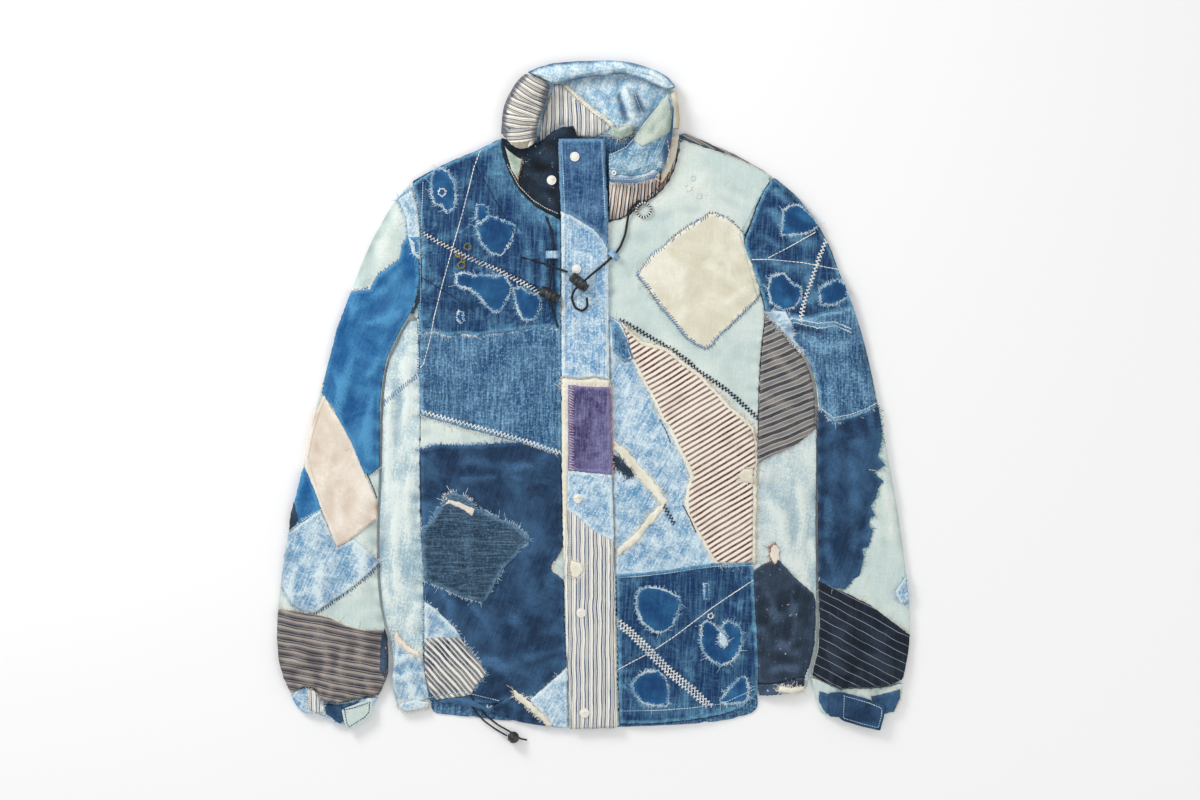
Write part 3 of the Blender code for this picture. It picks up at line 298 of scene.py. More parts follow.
# %% The scraps
TICKING = [(0.0, "#e6e6de"), (0.18, "#27416c"), (0.34, "#dfe0d8"), (0.43, "#7f8991"), (0.52, "#dfe0d8"),
           (0.60, "#27416c"), (0.76, "#e9e8e0"), (0.88, "#958f80"), (0.94, "#e6e6de")]
ROLL_TICKING = [(0.0, "#ece7d8"), (0.13, "#14264a"), (0.36, "#e0dac8"), (0.43, "#4d5a68"), (0.54, "#d9d3c2"),
                (0.60, "#14264a"), (0.80, "#ece7d8"), (0.88, "#6f6655"), (0.95, "#ece7d8")]
SLANTED = [(0.0, "#dfe0d8"), (0.20, "#1a2d4b"), (0.44, "#7d7c74"), (0.53, "#dfe0d8"), (0.63, "#1a2d4b"),
           (0.92, "#dfe0d8")]
BROWN = [(0.0, "#4d221f"), (0.42, "#eee3d4")]
GREY = [(0.0, "#2b3341"), (0.22, "#877f7a"), (0.34, "#2b3341"), (0.48, "#9c9289"), (0.76, "#686468")]
GREY_LEFT = [(0.0, "#323a49"), (0.40, "#aba396"), (0.52, "#75777b"), (0.86, "#aba396")]
# The third colour of each cloth is painted shade for its hollows and creases.
weave_cloth("worn_indigo", "#042b58", "#6fa6c6", "#0a1f40", blotch=(24, 0.42), streak=(0.32, 87), speck=0.12,
            clear=(0.55, 0.7), edge=1.0, ridge=0.5, bump=0.5, stain=0.0)
weave_cloth("hole_indigo", "#0d3b69", "#2f6a98", "#0c2a55", blotch=(30, 0.5), streak=(0.2, 80), speck=0.15,
            edge=0.5, stain=0.0)
weave_cloth("mid_denim", "#12406c", "#7fabc7", "#0f2745", blotch=(45, 0.14), streak=(0.6, 89), speck=0.8,
            ridge=0.5, stain=0.0, bump=0.6)
weave_cloth("placket_denim", "#103766", "#6892b4", "#0e2545", blotch=(30, 0.35), streak=(0.5, 89), speck=0.5,
            stain=0.1, edge=1.2)
weave_cloth("flap_blue", "#3b789f", "#b9d1da", "#1d456c", blotch=(14, 0.5), streak=(0.5, 70), speck=0.8,
            clear=(0.46, 0.62), bump=0.5, ridge=0.25)
weave_cloth("collar_blue", "#73a8c8", "#e2eff2", "#1d456c", blotch=(14, 0.55), streak=(0.5, 70), speck=0.9,
            clear=(0.46, 0.62), bump=0.5, ridge=0.35)
weave_cloth("olive_cotton", "#94a99b", "#c3cec2", "#5d756a", blotch=(30, 0.6), streak=(0.2, 80), speck=0.25)
weave_cloth("dark_denim", "#172f45", "#6486a0", "#0b1827", blotch=(30, 0.15), streak=(0.5, 0), speck=0.5,
            stain=0.1, bump=0.6, ridge=0.25)
weave_cloth("navy", "#142c48", "#42698f", "#0a1730", blotch=(70, 0.7), streak=(0.2, 70), speck=0.12,
            edge=0.6, stain=0.05, ridge=0.7)
weave_cloth("black", "#1a2836", "#475a72", "#0c0f16", blotch=(60, 0.35), streak=(0.2, 80), speck=0.2,
            edge=0.4, stain=0.05, flecks=0.7)
weave_cloth("bright_blue", "#115189", "#4c8ebb", "#113d6d", blotch=(60, 0.6), streak=(0.25, 70), speck=0.2,
            edge=1.0, stain=0.05)
weave_cloth("washed_blue", "#5a8db3", "#d0e0e4", "#3a6794", blotch=(17, 0.6), streak=(0.6, 65), speck=0.8,
            bump=0.5)
weave_cloth("faded_denim", "#568fb8", "#d3e3e9", "#3f6f9d", blotch=(17, 0.55), streak=(0.6, 62), speck=0.9,
            ridge=0.5, clear=(0.42, 0.62), bump=0.5)
weave_cloth("bleached_denim", "#508cba", "#d9e8ec", "#3f6f9d", blotch=(14, 0.5), streak=(0.5, 88), speck=0.9,
            ridge=0.5, bump=0.5)
weave_cloth("pale_green", "#bdcfcc", "#dfe5dd", "#8b9f9f", blotch=(80, 0.5), streak=(0.25, 85), speck=0.4,
            stain=0.45, ridge=0.5, flecks=0.45)
weave_cloth("side_worn", "#8fb0be", "#dbe5e1", "#66879d", blotch=(60, 0.6), streak=(0.45, 80), speck=1.0,
            stain=0.3, clear=(0.4, 0.6))
weave_cloth("side_washed", "#98b4bf", "#d6dfda", "#7592a5", blotch=(60, 0.55), streak=(0.45, 80), speck=1.0,
            stain=0.3, clear=(0.36, 0.56))
weave_cloth("cream", "#d2ceb8", "#e9e6d7", "#b9aa8e", blotch=(50, 0.8), streak=(0.2, 85), speck=0.25,
            stain=0.3)
weave_cloth("peach", "#d5c7b6", "#eae2d6", "#bda28e", blotch=(45, 0.8), streak=(0.2, 85), speck=0.2,
            stain=0.2)
weave_cloth("purple", "#352f58", "#8380ab", "#20173a", blotch=(26, 0.6), streak=(0.5, 88), speck=0.4,
            stain=0.0)
weave_cloth("ticking_upright", "#e0e0e0", "#f2ece0", "#4a4f5c", stripes=(10.5, 90, TICKING), stain=0.4)
weave_cloth("ticking_slanted", "#e0e0e0", "#f2ece0", "#4a4f5c", stripes=(11.0, -48, SLANTED), stain=0.3)
weave_cloth("ticking_roll", "#e0e0e0", "#f2ece0", "#4a4f5c", stripes=("along", 9.5, ROLL_TICKING),
            stain=0.35)
weave_cloth("brown_stripe", "#e0e0e0", "#f2e6da", "#8d7466", stripes=(6.3, 31, BROWN), stain=0.3, speck=0.2)
weave_cloth("grey_stripe_left", "#808080", "#c8bcb0", "#2b2b36", stripes=(10.7, 22, GREY_LEFT),
            blotch=(40, 0.3), speck=0.2, streak=(0.2, 20), edge=0.4)
weave_cloth("grey_stripe_right", "#808080", "#c8bcb0", "#2b2b36", stripes=(9.6, -11, GREY), blotch=(40, 0.3),
            speck=0.2, streak=(0.2, -12), edge=0.4)
weave_cloth("grey_stripe_yoke", "#808080", "#c8bcb0", "#2b2b36", stripes=(8.0, -30, GREY_LEFT),
            blotch=(40, 0.3), speck=0.2, streak=(0.2, -30), edge=0.4)
weave_cloth("stand_stripe", "#808080", "#efe6d8", "#2b2b36", blotch=(40, 0.4), speck=0.2,
            stripes=(9.0, 84, [(0.0, "#e9e4da"), (0.24, "#17233f"), (0.46, "#ded5c5"), (0.56, "#a56d45"),
                               (0.66, "#e6e1d6"), (0.76, "#26324e"), (0.92, "#b98a63")]))
weave_cloth("stand_black", "#0e1823", "#33465b", "#080b10", blotch=(40, 0.3), streak=(0.2, 80), speck=0.22,
            edge=0.3, stain=0.05, ridge=0.4, flecks=0.8)
weave_cloth("pinstripe", "#121c28", "#4d5d72", "#0a0e15", blotch=(50, 0.3), speck=0.12, edge=0.4, stain=0.05,
            stripes=(10.6, -28, [(0.0, "#121c28"), (0.93, "#8d97a3")]))
weave_cloth("loop_tape", "#4c83ad", "#c3d9e4", "#295478", blotch=(12, 0.5), speck=0.3, stain=0.0)
print("cloth recipes:", len(fabrics))


# %% [markdown]
# ## Heights of the laid cloth
# The solids have flat facets, so their outer faces are read on a fine grid with rays from above and
# then softened. Where a panel ends, the blur is weighted by what lies under it, so its edge does not
# sag.

# %% Reading the heights
GRID = 2.5            # mm between grid points
MARGIN = 30.0         # mm of grid round each surface
FOLD_DEPTH = 1.3      # scales the height of every listed fold
FAR_BLUR = 12         # mm, the blur that carries heights past a panel's end
RIDGE_WIDTH = 2.5     # mm, the finest bend that still counts as a ridge
BEND_WIDTH = 9.0      # mm, the form that a ridge or a hollow is measured against
FULL_RIDGE = 0.9      # mm above that form where a ridge rubs most
FULL_HOLLOW = 1.3     # mm below it where the painted shade in a hollow is darkest
CREASE_LINE = 0.16    # how thin creases are, as a share of the random field's spread


def soften(field, width):
    """Gaussian blur of a grid by a width in millimetres."""
    rows, columns = np.fft.fftfreq(field.shape[0], GRID), np.fft.fftfreq(field.shape[1], GRID)
    keep = np.exp(-2 * (math.pi * width) ** 2 * (rows[:, None] ** 2 + columns[None, :] ** 2))
    return np.real(np.fft.ifft2(np.fft.fft2(field) * keep))


def away(points, line, closed=False):
    """Distance from each point to a line through points, and how far along it the nearest place is."""
    line = np.asarray(line, float)
    ends = np.roll(line, -1, 0) if closed else line[1:]
    starts = line if closed else line[:-1]
    best = np.full(len(points), 1e9)
    along = np.zeros(len(points))
    passed = 0.0
    for start, end in zip(starts, ends):
        run = end - start
        length = math.hypot(*run)
        share = np.clip((points - start) @ run / max(length * length, 1e-9), 0, 1)
        gap = np.hypot(*(points - start - share[:, None] * run).T)
        nearer = gap < best
        along[nearer] = passed + share[nearer] * length
        best = np.minimum(best, gap)
        passed += length
    return best, along


class Surface:
    """Heights, ridges and hollows of some solids' outer faces, all in millimetres on the layout."""

    def __init__(self, names, blur=4.0):
        corners, faces = [], []
        for name in names:
            mesh = nodes[name].data
            first = len(corners)
            corners.extend(v.co for v in mesh.vertices)
            faces.extend([first + i for i in p.vertices] for p in mesh.polygons)
        tree = BVHTree.FromPolygons(corners, faces)
        boxes = [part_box(name) for name in names]
        self.x0 = min(b[0][0] for b in boxes) / MM - SHIFT_X - MARGIN
        self.y0 = min(b[0][1] for b in boxes) / MM - SHIFT_Y - MARGIN
        columns = int((max(b[1][0] for b in boxes) / MM - SHIFT_X + MARGIN - self.x0) / GRID) + 1
        rows = int((max(b[1][1] for b in boxes) / MM - SHIFT_Y + MARGIN - self.y0) / GRID) + 1
        heights, there = np.zeros((rows, columns)), np.zeros((rows, columns))
        down = Vector((0, 0, -1))
        for row in range(rows):
            for column in range(columns):
                start = place(self.x0 + column * GRID, self.y0 + row * GRID, 100)
                hit = tree.ray_cast(start, down)[0]
                if hit is not None:
                    heights[row, column] = hit.z / MM
                    there[row, column] = 1.0
        wide = soften(heights * there, FAR_BLUR) / np.maximum(soften(there, FAR_BLUR), 1e-3)
        near = soften(heights * there, blur) / np.maximum(soften(there, blur), 1e-3)
        share = np.clip(soften(there, blur) * 3, 0, 1)
        self.z = near * share + wide * (1 - share)
        self.points = np.stack(np.meshgrid(self.x0 + np.arange(columns) * GRID,
                                           self.y0 + np.arange(rows) * GRID), -1).reshape(-1, 2)

    def fold(self, line, width, height):
        """A soft ridge, or a trough if height is below 0, that fades at both ends of its line."""
        gap, along = away(self.points, line)
        length = along.max()
        ends = np.clip(np.minimum(along, length - along) / (0.3 * length + 1e-9), 0, 1)
        ends = ends * ends * (3 - 2 * ends)
        self.z += (FOLD_DEPTH * height * np.exp(-(gap / width) ** 2) * ends).reshape(self.z.shape)

    def pucker(self, line, pitch, height, reach):
        """Small ripples that stand across a seam, as thread draws the cloth up."""
        gap, along = away(self.points, line)
        phase = 2 * math.pi * along / pitch + 1.7 * np.sin(along / (2.3 * pitch)) + 0.04 * gap
        self.z += (height * np.sin(phase) * np.exp(-gap / reach)).reshape(self.z.shape)

    def rumple(self, height, width):
        """Uneven softness all over: random heights blurred to a width."""
        field = soften(random.standard_normal(self.z.shape), width)
        self.z += field / field.std() * height

    def crease(self, depth, width):
        """Thin wandering creases, as crumpled cotton keeps them, deeper in some places than in others."""
        lines = soften(random.standard_normal(self.z.shape), width)
        places = soften(random.standard_normal(self.z.shape), 2 * width)
        share = np.clip(places / places.std() + 0.3, 0, 1)
        self.z -= depth * share * np.exp(-(lines / lines.std() / CREASE_LINE) ** 2)

    def finish(self):
        """Works out which places rub as ridges and which lie in hollows, where shade is painted."""
        bend = soften(self.z, RIDGE_WIDTH) - soften(self.z, BEND_WIDTH)
        self.ridge = np.clip(bend / FULL_RIDGE, 0, 1)
        self.hollow = np.clip(-bend / FULL_HOLLOW, 0, 1)

    def sample(self, field, x, y):
        """A grid's values at places of the layout."""
        column = np.clip((np.asarray(x) - self.x0) / GRID, 0, self.z.shape[1] - 1.001)
        row = np.clip((np.asarray(y) - self.y0) / GRID, 0, self.z.shape[0] - 1.001)
        i, j = column.astype(int), row.astype(int)
        u, v = column - i, row - j
        return (field[j, i] * (1 - u) * (1 - v) + field[j, i + 1] * u * (1 - v)
                + field[j + 1, i] * (1 - u) * v + field[j + 1, i + 1] * u * v)

    def at(self, x, y):
        """The cloth's height at places of the layout."""
        return self.sample(self.z, x, y)


body = Surface(["front_right", "front_left", "side_right", "side_left", "yoke_left", "back"])
arm_right = Surface(["sleeve_right"])
arm_left = Surface(["sleeve_left"])
wrist_right = Surface(["cuff_right"], 2.5)
wrist_left = Surface(["cuff_left"], 2.5)
strip = Surface(["placket"], 3.0)
neck_back = Surface(["collar_back"], 3.0)
band_face = Surface(["collar_band"], 2.5)
roll_face = Surface(["collar_right_roll"], 2.5)
stand_right = Surface(["collar_right_stand"], 3.0)
stand_left = Surface(["collar_left_stand"], 2.5)
flap_face = Surface(["collar_left_roll"], 2.5)
side_face = Surface(["collar_left_side"], 2.5)
print("body heights:", body.z.shape, "points, highest", round(float(body.z.max()), 1), "mm")

# %% [markdown]
# ## Folds and puckers
# The largest folds are in the solids already. The smaller ones are placed one by one: drag lines from
# the armholes, creases across the elbows, the gathered hem and cuffs, and the ripples that every
# row of stitching draws into old cloth.

# %% Listed folds
BODY_FOLDS = [
    ([(-70, 215), (-62, 160), (-64, 110)], 5, 1.6), ([(-84, 212), (-80, 150), (-88, 108)], 5, 1.2),
    ([(-215, 190), (-170, 205), (-120, 210)], 9, 0.9), ([(-212, 120), (-170, 110), (-110, 118)], 7, -0.8),
    ([(-157, -150), (-158, -200), (-150, -250)], 4, 1.2), ([(-200, -90), (-150, -80), (-60, -92)], 7, 1.0),
    ([(-120, -100), (-95, -140), (-60, -160)], 10, -0.9), ([(-70, -230), (-95, -280), (-75, -330)], 11, 1.1),
    ([(-100, -330), (-75, -325), (-50, -318)], 5, 1.2), ([(-160, -320), (-110, -340), (-60, -352)], 8, 1.3),
    ([(-206, -384), (-180, -379), (-150, -384), (-120, -394)], 5, 2.2),
    ([(-120, -372), (-90, -392)], 5, 1.2), ([(-240, 60), (-232, 0), (-240, -60)], 5, 1.5),
    ([(-255, 30), (-258, -60), (-259, -150)], 4, 1.8), ([(-228, -60), (-234, -150), (-228, -220)], 5, 1.3),
    ([(-245, -120), (-250, -200), (-244, -270)], 5, 1.6),
    ([(-256, -160), (-262, -230), (-254, -280)], 4, 1.4), ([(-222, -250), (-232, -300)], 5, 1.0),
    ([(-236, -330), (-226, -380)], 4, 1.3), ([(120, 300), (150, 240), (185, 205)], 12, 0.9),
    ([(60, 215), (110, 235), (150, 232)], 8, -0.6), ([(60, 130), (95, 70), (150, 40)], 8, 0.7),
    ([(205, 140), (170, 120), (150, 110)], 7, 0.9), ([(30, 60), (45, 0), (40, -60)], 7, 0.9),
    ([(48, -70), (80, -112), (90, -135)], 4, 1.8), ([(30, -180), (70, -175), (110, -205)], 6, 0.9),
    ([(60, -110), (90, -160), (100, -200)], 6, 0.8), ([(30, -240), (90, -300), (147, -386)], 4, 0.5),
    ([(40, -330), (100, -300), (190, -235)], 4, 0.5), ([(110, -395), (120, -340), (112, -300)], 8, 0.9),
    ([(165, -395), (178, -340), (172, -300)], 8, 0.8), ([(212, 60), (238, 40), (262, 10)], 6, 1.3),
    ([(206, 0), (236, -10), (268, -25)], 6, 1.2), ([(210, -120), (235, -150), (240, -200)], 6, 1.4),
    ([(270, -170), (275, -195), (277, -215)], 4, 1.4), ([(255, -90), (262, -150), (258, -210)], 5, 1.6),
    ([(205, -260), (232, -275), (262, -262)], 6, 1.3), ([(226, -300), (246, -320), (268, -318)], 6, 1.6),
    ([(212, -345), (235, -338), (262, -342)], 5, 1.6), ([(208, -372), (235, -366), (262, -362)], 4, 2.0),
    ([(-206, -96), (-160, -104), (-110, -98), (-62, -108)], 3.5, 1.0),
    ([(-140, -88), (-100, -90), (-66, -84)], 3, 0.9), ([(-196, -232), (-180, -262), (-186, -290)], 4, 1.1),
    ([(-172, -214), (-150, -262), (-128, -292)], 4, 1.0),
    ([(-168, -385), (-140, -392), (-104, -400)], 3.5, 1.4),
    ([(-130, -320), (-90, -372), (-60, -392)], 5, 1.0), ([(208, -232), (226, -262), (222, -292)], 3.5, 1.2),
    ([(246, -236), (252, -280), (244, -322)], 3.5, 1.2), ([(214, -320), (240, -312), (264, -298)], 3.5, 1.1),
    ([(-268, -318), (-246, -330), (-222, -322)], 3.5, 1.4),
    ([(-264, -346), (-240, -352), (-218, -346)], 3.5, 1.5), ([(96, 250), (128, 262), (150, 290)], 4, 0.8),
    ([(204, 232), (178, 250), (150, 262)], 4, 0.8), ([(130, 170), (166, 150), (196, 132)], 5, 0.7),
]
RIGHT_ARM_FOLDS = [
    ([(-238, 240), (-262, 190), (-270, 140)], 8, 1.4), ([(-232, 170), (-255, 140), (-280, 120)], 6, 1.2),
    ([(-240, 110), (-262, 95), (-300, 90)], 6, 1.3), ([(-300, 60), (-318, 0), (-322, -40)], 7, 1.3),
    ([(-275, 20), (-283, -40), (-278, -90)], 5, 1.4), ([(-350, -20), (-366, -100), (-378, -160)], 6, 1.3),
    ([(-310, -90), (-318, -140), (-312, -180)], 7, 1.1),
    ([(-290, -150), (-287, -200), (-294, -250)], 6, 1.3),
    ([(-372, -200), (-382, -250), (-386, -290)], 5, 1.4),
    ([(-335, -200), (-345, -240), (-340, -280)], 8, 1.2),
    ([(-300, -275), (-290, -310), (-296, -345)], 6, 1.5),
    ([(-392, -330), (-375, -333), (-358, -330)], 5, 2.6),
    ([(-375, -345), (-358, -352), (-350, -364)], 5, 2.2),
    ([(-340, -340), (-330, -360), (-325, -380)], 5, 1.4), ([(-285, -350), (-280, -372)], 4, 1.4),
    ([(-262, -290), (-262, -320), (-264, -350)], 4, 1.6),
    ([(-340, -300), (-332, -335), (-345, -362)], 3.5, 1.6),
    ([(-392, -305), (-376, -318), (-362, -340)], 3.5, 1.5),
    ([(-310, -300), (-318, -340), (-312, -372)], 4, 1.3), ([(-330, 40), (-312, 0), (-300, -20)], 4, 1.1),
    ([(-284, 160), (-300, 130), (-304, 90)], 4, 1.2), ([(-262, 60), (-278, 30), (-292, 20)], 4, 1.1),
]
LEFT_ARM_FOLDS = [
    ([(215, 235), (250, 200), (282, 190)], 7, 1.3), ([(205, 180), (240, 160), (275, 165)], 6, 1.0),
    ([(225, 120), (262, 118), (300, 130)], 6, 1.2), ([(262, 70), (290, 60), (330, 70)], 7, 1.2),
    ([(290, 40), (300, -10), (298, -60)], 6, 1.4), ([(330, 40), (345, -20), (352, -60)], 6, 1.3),
    ([(320, -60), (328, -140), (322, -220)], 8, 1.2), ([(360, -90), (372, -150), (378, -210)], 5, 1.4),
    ([(292, -110), (290, -180), (296, -230)], 5, 1.4), ([(300, -260), (330, -280), (370, -310)], 7, 1.5),
    ([(285, -300), (300, -330), (325, -350)], 6, 1.6), ([(350, -320), (365, -340), (380, -350)], 5, 1.8),
    ([(330, -330), (335, -355)], 4, 1.4), ([(222, 262), (246, 240)], 3.5, 1.6),
    ([(232, 266), (262, 236)], 3.5, -1.2), ([(215, 240), (240, 215)], 3.5, 1.5),
    ([(205, 205), (230, 190), (250, 188)], 3.5, 1.4), ([(250, 232), (282, 214)], 4, 1.5),
    ([(262, 160), (275, 130), (268, 105)], 3.5, 1.3), ([(240, 150), (250, 120), (262, 110)], 3.5, -1.2),
    ([(222, 91), (255, 97), (290, 90), (318, 85)], 3.5, 1.8), ([(228, 83), (262, 86), (300, 76)], 3, -1.3),
    ([(300, 175), (318, 140), (322, 110)], 4, 1.4), ([(285, -270), (330, -295), (372, -322)], 3.5, 1.3),
    ([(300, -315), (340, -322), (380, -335)], 4, 1.5), ([(290, -330), (312, -345), (340, -352)], 3.5, 1.4),
]
NECK_BACK_FOLDS = [
    ([(38, 392), (44, 372), (52, 348)], 4, 2.6), ([(50, 384), (56, 366), (62, 350)], 4, -2.2),
    ([(20, 392), (28, 372), (30, 350)], 5, 1.0), ([(-52, 384), (-48, 360), (-50, 338)], 4, 1.4),
    ([(-36, 376), (-30, 352), (-32, 338)], 4, 1.0), ([(0, 396), (6, 380), (4, 366)], 5, -0.8),
    ([(-10, 348), (14, 352), (36, 340)], 5, 1.6), ([(30, 334), (44, 340), (50, 332)], 4, 1.8),
    ([(36, 398), (41, 380), (46, 356), (58, 340)], 3, 1.6), ([(56, 388), (64, 372), (70, 360)], 3.5, 1.4),
    ([(-6, 384), (8, 372), (18, 352)], 3.5, 1.0), ([(28, 384), (34, 364), (40, 350)], 3, -1.4),
    ([(-60, 372), (-56, 350), (-60, 330)], 3, 1.2), ([(44, 398), (60, 392), (72, 380)], 3.5, 1.2),
    ([(-20, 396), (0, 388), (24, 392)], 4, 0.9), ([(60, 356), (48, 342), (34, 334)], 3, 1.6),
]
BAND_FOLDS = [
    ([(-74, 408), (-60, 402)], 4, 1.6), ([(-40, 416), (-34, 396)], 5, 1.3),
    ([(-8, 419), (-2, 402)], 5, -1.2), ([(22, 420), (28, 404)], 5, 1.4), ([(46, 418), (50, 402)], 4, -1.6),
    ([(62, 414), (60, 400)], 4, 1.6), ([(80, 404), (76, 394)], 4, 1.5), ([(92, 396), (86, 388)], 3, 1.2),
    ([(-62, 412), (-56, 404), (-48, 400)], 3, 1.1), ([(-24, 418), (-18, 404)], 3, 1.0),
    ([(8, 420), (14, 404)], 3, 1.0), ([(34, 418), (40, 406)], 3, 1.2), ([(54, 416), (62, 404)], 3, -1.3),
    ([(70, 412), (76, 400)], 3, 1.3), ([(86, 404), (84, 394)], 3, 1.1),
]
ROLL_FOLDS = [
    ([(-112, 346), (-92, 340), (-74, 344)], 5, 1.4), ([(-108, 366), (-88, 360), (-70, 366)], 5, -1.3),
    ([(-98, 384), (-82, 376), (-66, 382)], 4, 1.4), ([(-76, 330), (-70, 350), (-62, 372)], 4, 1.6),
]
STAND_FOLDS = [
    ([(-90, 312), (-60, 300), (-46, 304)], 4, 1.8), ([(-80, 290), (-62, 286), (-48, 292)], 5, -1.3),
    ([(-76, 276), (-60, 264), (-46, 262)], 4, 1.5), ([(-66, 256), (-52, 244), (-44, 240)], 4, 1.3),
    ([(-60, 322), (-44, 330), (-28, 332)], 4, 1.6),
    ([(-104, 300), (-84, 296), (-66, 306), (-50, 318)], 3, 1.3),
    ([(-96, 282), (-74, 276), (-50, 278)], 3, 1.2), ([(-84, 262), (-66, 252), (-48, 250)], 3, 1.0),
    ([(-76, 322), (-58, 314), (-46, 322)], 3, -1.2),
]
FLAP_FOLDS = [
    ([(94, 372), (84, 346), (64, 322)], 5, -1.6), ([(88, 350), (76, 326), (52, 312)], 4, 1.6),
    ([(92, 330), (74, 312), (60, 300)], 5, -1.2), ([(24, 298), (36, 288), (40, 272)], 4, 1.1),
    ([(56, 300), (62, 284), (60, 270)], 4, 1.0), ([(74, 300), (82, 288), (84, 280)], 4, 1.0),
    ([(90, 362), (72, 336), (50, 318)], 3, 1.3), ([(86, 322), (66, 312), (44, 304)], 3, 1.2),
    ([(80, 306), (60, 296), (34, 294)], 3.5, -1.0), ([(50, 300), (54, 290), (50, 280)], 2.5, 0.9),
    ([(32, 306), (28, 296), (30, 284)], 3, 1.0), ([(70, 296), (70, 286)], 2.5, 0.9),
]
for surface, folds in ((body, BODY_FOLDS), (arm_right, RIGHT_ARM_FOLDS), (arm_left, LEFT_ARM_FOLDS),
                       (neck_back, NECK_BACK_FOLDS), (band_face, BAND_FOLDS), (roll_face, ROLL_FOLDS),
                       (stand_right, STAND_FOLDS), (flap_face, FLAP_FOLDS)):
    for line, width, height in folds:
        surface.fold(line, width, height)

# %% Puckers along the seams
body.pucker([(-42, 320), (-42, 100), (-41, -100), (-33, -410)], 17, 0.55, 9)
body.pucker([(20, 220), (21, 0), (27, -220), (31, -410)], 16, 0.5, 9)
body.pucker([(-218, 100), (-218, -60), (-215, -200), (-213, -300), (-207, -384)], 19, 0.8, 9)
body.pucker([(207, 90), (205, -60), (199, -200), (204, -340)], 18, 0.7, 9)
body.pucker([(-230, 268), (-221, 240), (-217, 200), (-217, 140), (-228, 104)], 14, 0.6, 8)
body.pucker([(224, 276), (204, 238), (189, 190), (204, 148), (216, 106)], 14, 0.6, 8)
body.pucker([(-206, -382), (-150, -386), (-85, -406), (-40, -414)], 15, 0.9, 10)
body.pucker([(31, -411), (100, -408), (160, -398), (206, -374)], 15, 0.7, 9)
body.pucker([(-116, 310), (-98, 265), (-60, 230), (-41, 221)], 13, 0.7, 9)
body.pucker([(20, 221), (60, 242), (95, 275), (108, 322)], 13, 0.5, 8)
arm_right.pucker([(-230, 268), (-221, 240), (-217, 200), (-217, 140), (-228, 104)], 15, 0.7, 9)
arm_left.pucker([(224, 276), (204, 238), (189, 190), (204, 148), (216, 106)], 15, 0.7, 9)
arm_right.pucker([(-381, -371), (-351, -366), (-318, -383), (-269, -374)], 13, 1.1, 12)
arm_left.pucker([(387, -356), (325, -364), (271, -349)], 13, 1.1, 12)
arm_right.pucker([(-259, 48), (-268, -60), (-271, -205), (-259, -300)], 21, 0.8, 9)
arm_left.pucker([(268, 48), (281, -40), (281, -200), (274, -334)], 21, 0.8, 9)
wrist_right.pucker([(-373, -380), (-330, -392), (-277, -382)], 9, 0.8, 16)
wrist_left.pucker([(386, -370), (330, -374), (275, -365)], 9, 0.8, 16)
flap_face.pucker([(22, 278), (46, 277), (72, 284), (88, 300), (94, 330)], 7, 0.45, 7)
band_face.pucker([(-80, 400), (-40, 395), (10, 402), (60, 400), (88, 388)], 9, 0.5, 8)
stand_left.pucker([(20, 232), (45, 238), (75, 262), (92, 300)], 8, 0.4, 8)
# How uneven each surface is, in mm: broadly, finely, and in its creases
UNEVENNESS = [
    (body, 0.5, 0.2, 0.5), (arm_right, 0.6, 0.24, 0.6), (arm_left, 0.6, 0.24, 0.6),
    (strip, 0.22, 0.14, 0.2), (wrist_right, 0.4, 0.25, 0.5), (wrist_left, 0.4, 0.25, 0.5),
    (neck_back, 0.5, 0.3, 0.5), (band_face, 0.45, 0.3, 0.4), (roll_face, 0.4, 0.25, 0.3),
    (stand_right, 0.5, 0.35, 0.6), (stand_left, 0.2, 0.2, 0.2), (flap_face, 0.45, 0.3, 0.5),
    (side_face, 0.2, 0.2, 0.0),
]
for surface, broad, fine, creased in UNEVENNESS:
    surface.rumple(broad, 14)
    surface.rumple(fine, 5)
    surface.crease(creased, 9)
    surface.finish()
print("folds placed:", len(BODY_FOLDS) + len(RIGHT_ARM_FOLDS) + len(LEFT_ARM_FOLDS))

# %% [markdown]
# ## Cutting a scrap and laying it down
# Each scrap is an outline in millimetres. A net of points fills it, the points take the cloth's
# height below, and the scrap gets a thickness of its own. Its border is slightly uneven, because no
# one hemmed these pieces, and its rim stands a little proud, so that the lamp draws it.

# %% Outlines and nets
NET = 3.4             # mm between points of a scrap
SCRAP = 0.8           # mm thick
CURL = 0.25           # mm that a scrap's rim stands proud
CURL_REACH = 3        # mm over which the rim comes down
CLEAR_OF_EDGE = 0.55  # share of NET between the border and the first points inside
NO_RIM = 30.0         # mm, a distance from the border at which nothing is rubbed


def resampled(line, step, closed):
    """The same line with a point every step millimetres."""
    line = [Vector(p) for p in line]
    if closed:
        line.append(line[0])
    points = []
    for start, end in zip(line, line[1:]):
        count = max(1, round((end - start).length / step))
        points.extend(tuple(start.lerp(end, k / count)) for k in range(count))
    if not closed:
        points.append(tuple(line[-1]))
    return np.array(points)


def inside(points, outline):
    """Which points lie inside a closed outline."""
    found = np.zeros(len(points), bool)
    x, y = points[:, 0], points[:, 1]
    for (ax, ay), (bx, by) in zip(outline, np.roll(outline, -1, 0)):
        crosses = (ay > y) != (by > y)
        if ay != by:
            found ^= crosses & (x < (bx - ax) * (y - ay) / (by - ay) + ax)
    return found


def add_values(mesh, **values):
    """Stores one number for each point of a mesh under each name."""
    for name, numbers in values.items():
        attribute = mesh.attributes.new(name, "FLOAT", "POINT")
        attribute.data.foreach_set("value", np.asarray(numbers, np.float32))


def add_mesh(name, corners, faces, fabric, **values):
    """A finished mesh object that rides on the jacket."""
    mesh = bpy.data.meshes.new(name)
    mesh.from_pydata(corners, [], faces)
    mesh.materials.append(fabrics[fabric])
    add_values(mesh, **values)
    mesh.shade_smooth()
    piece = add_object(name, mesh)
    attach(piece, "root")
    return piece


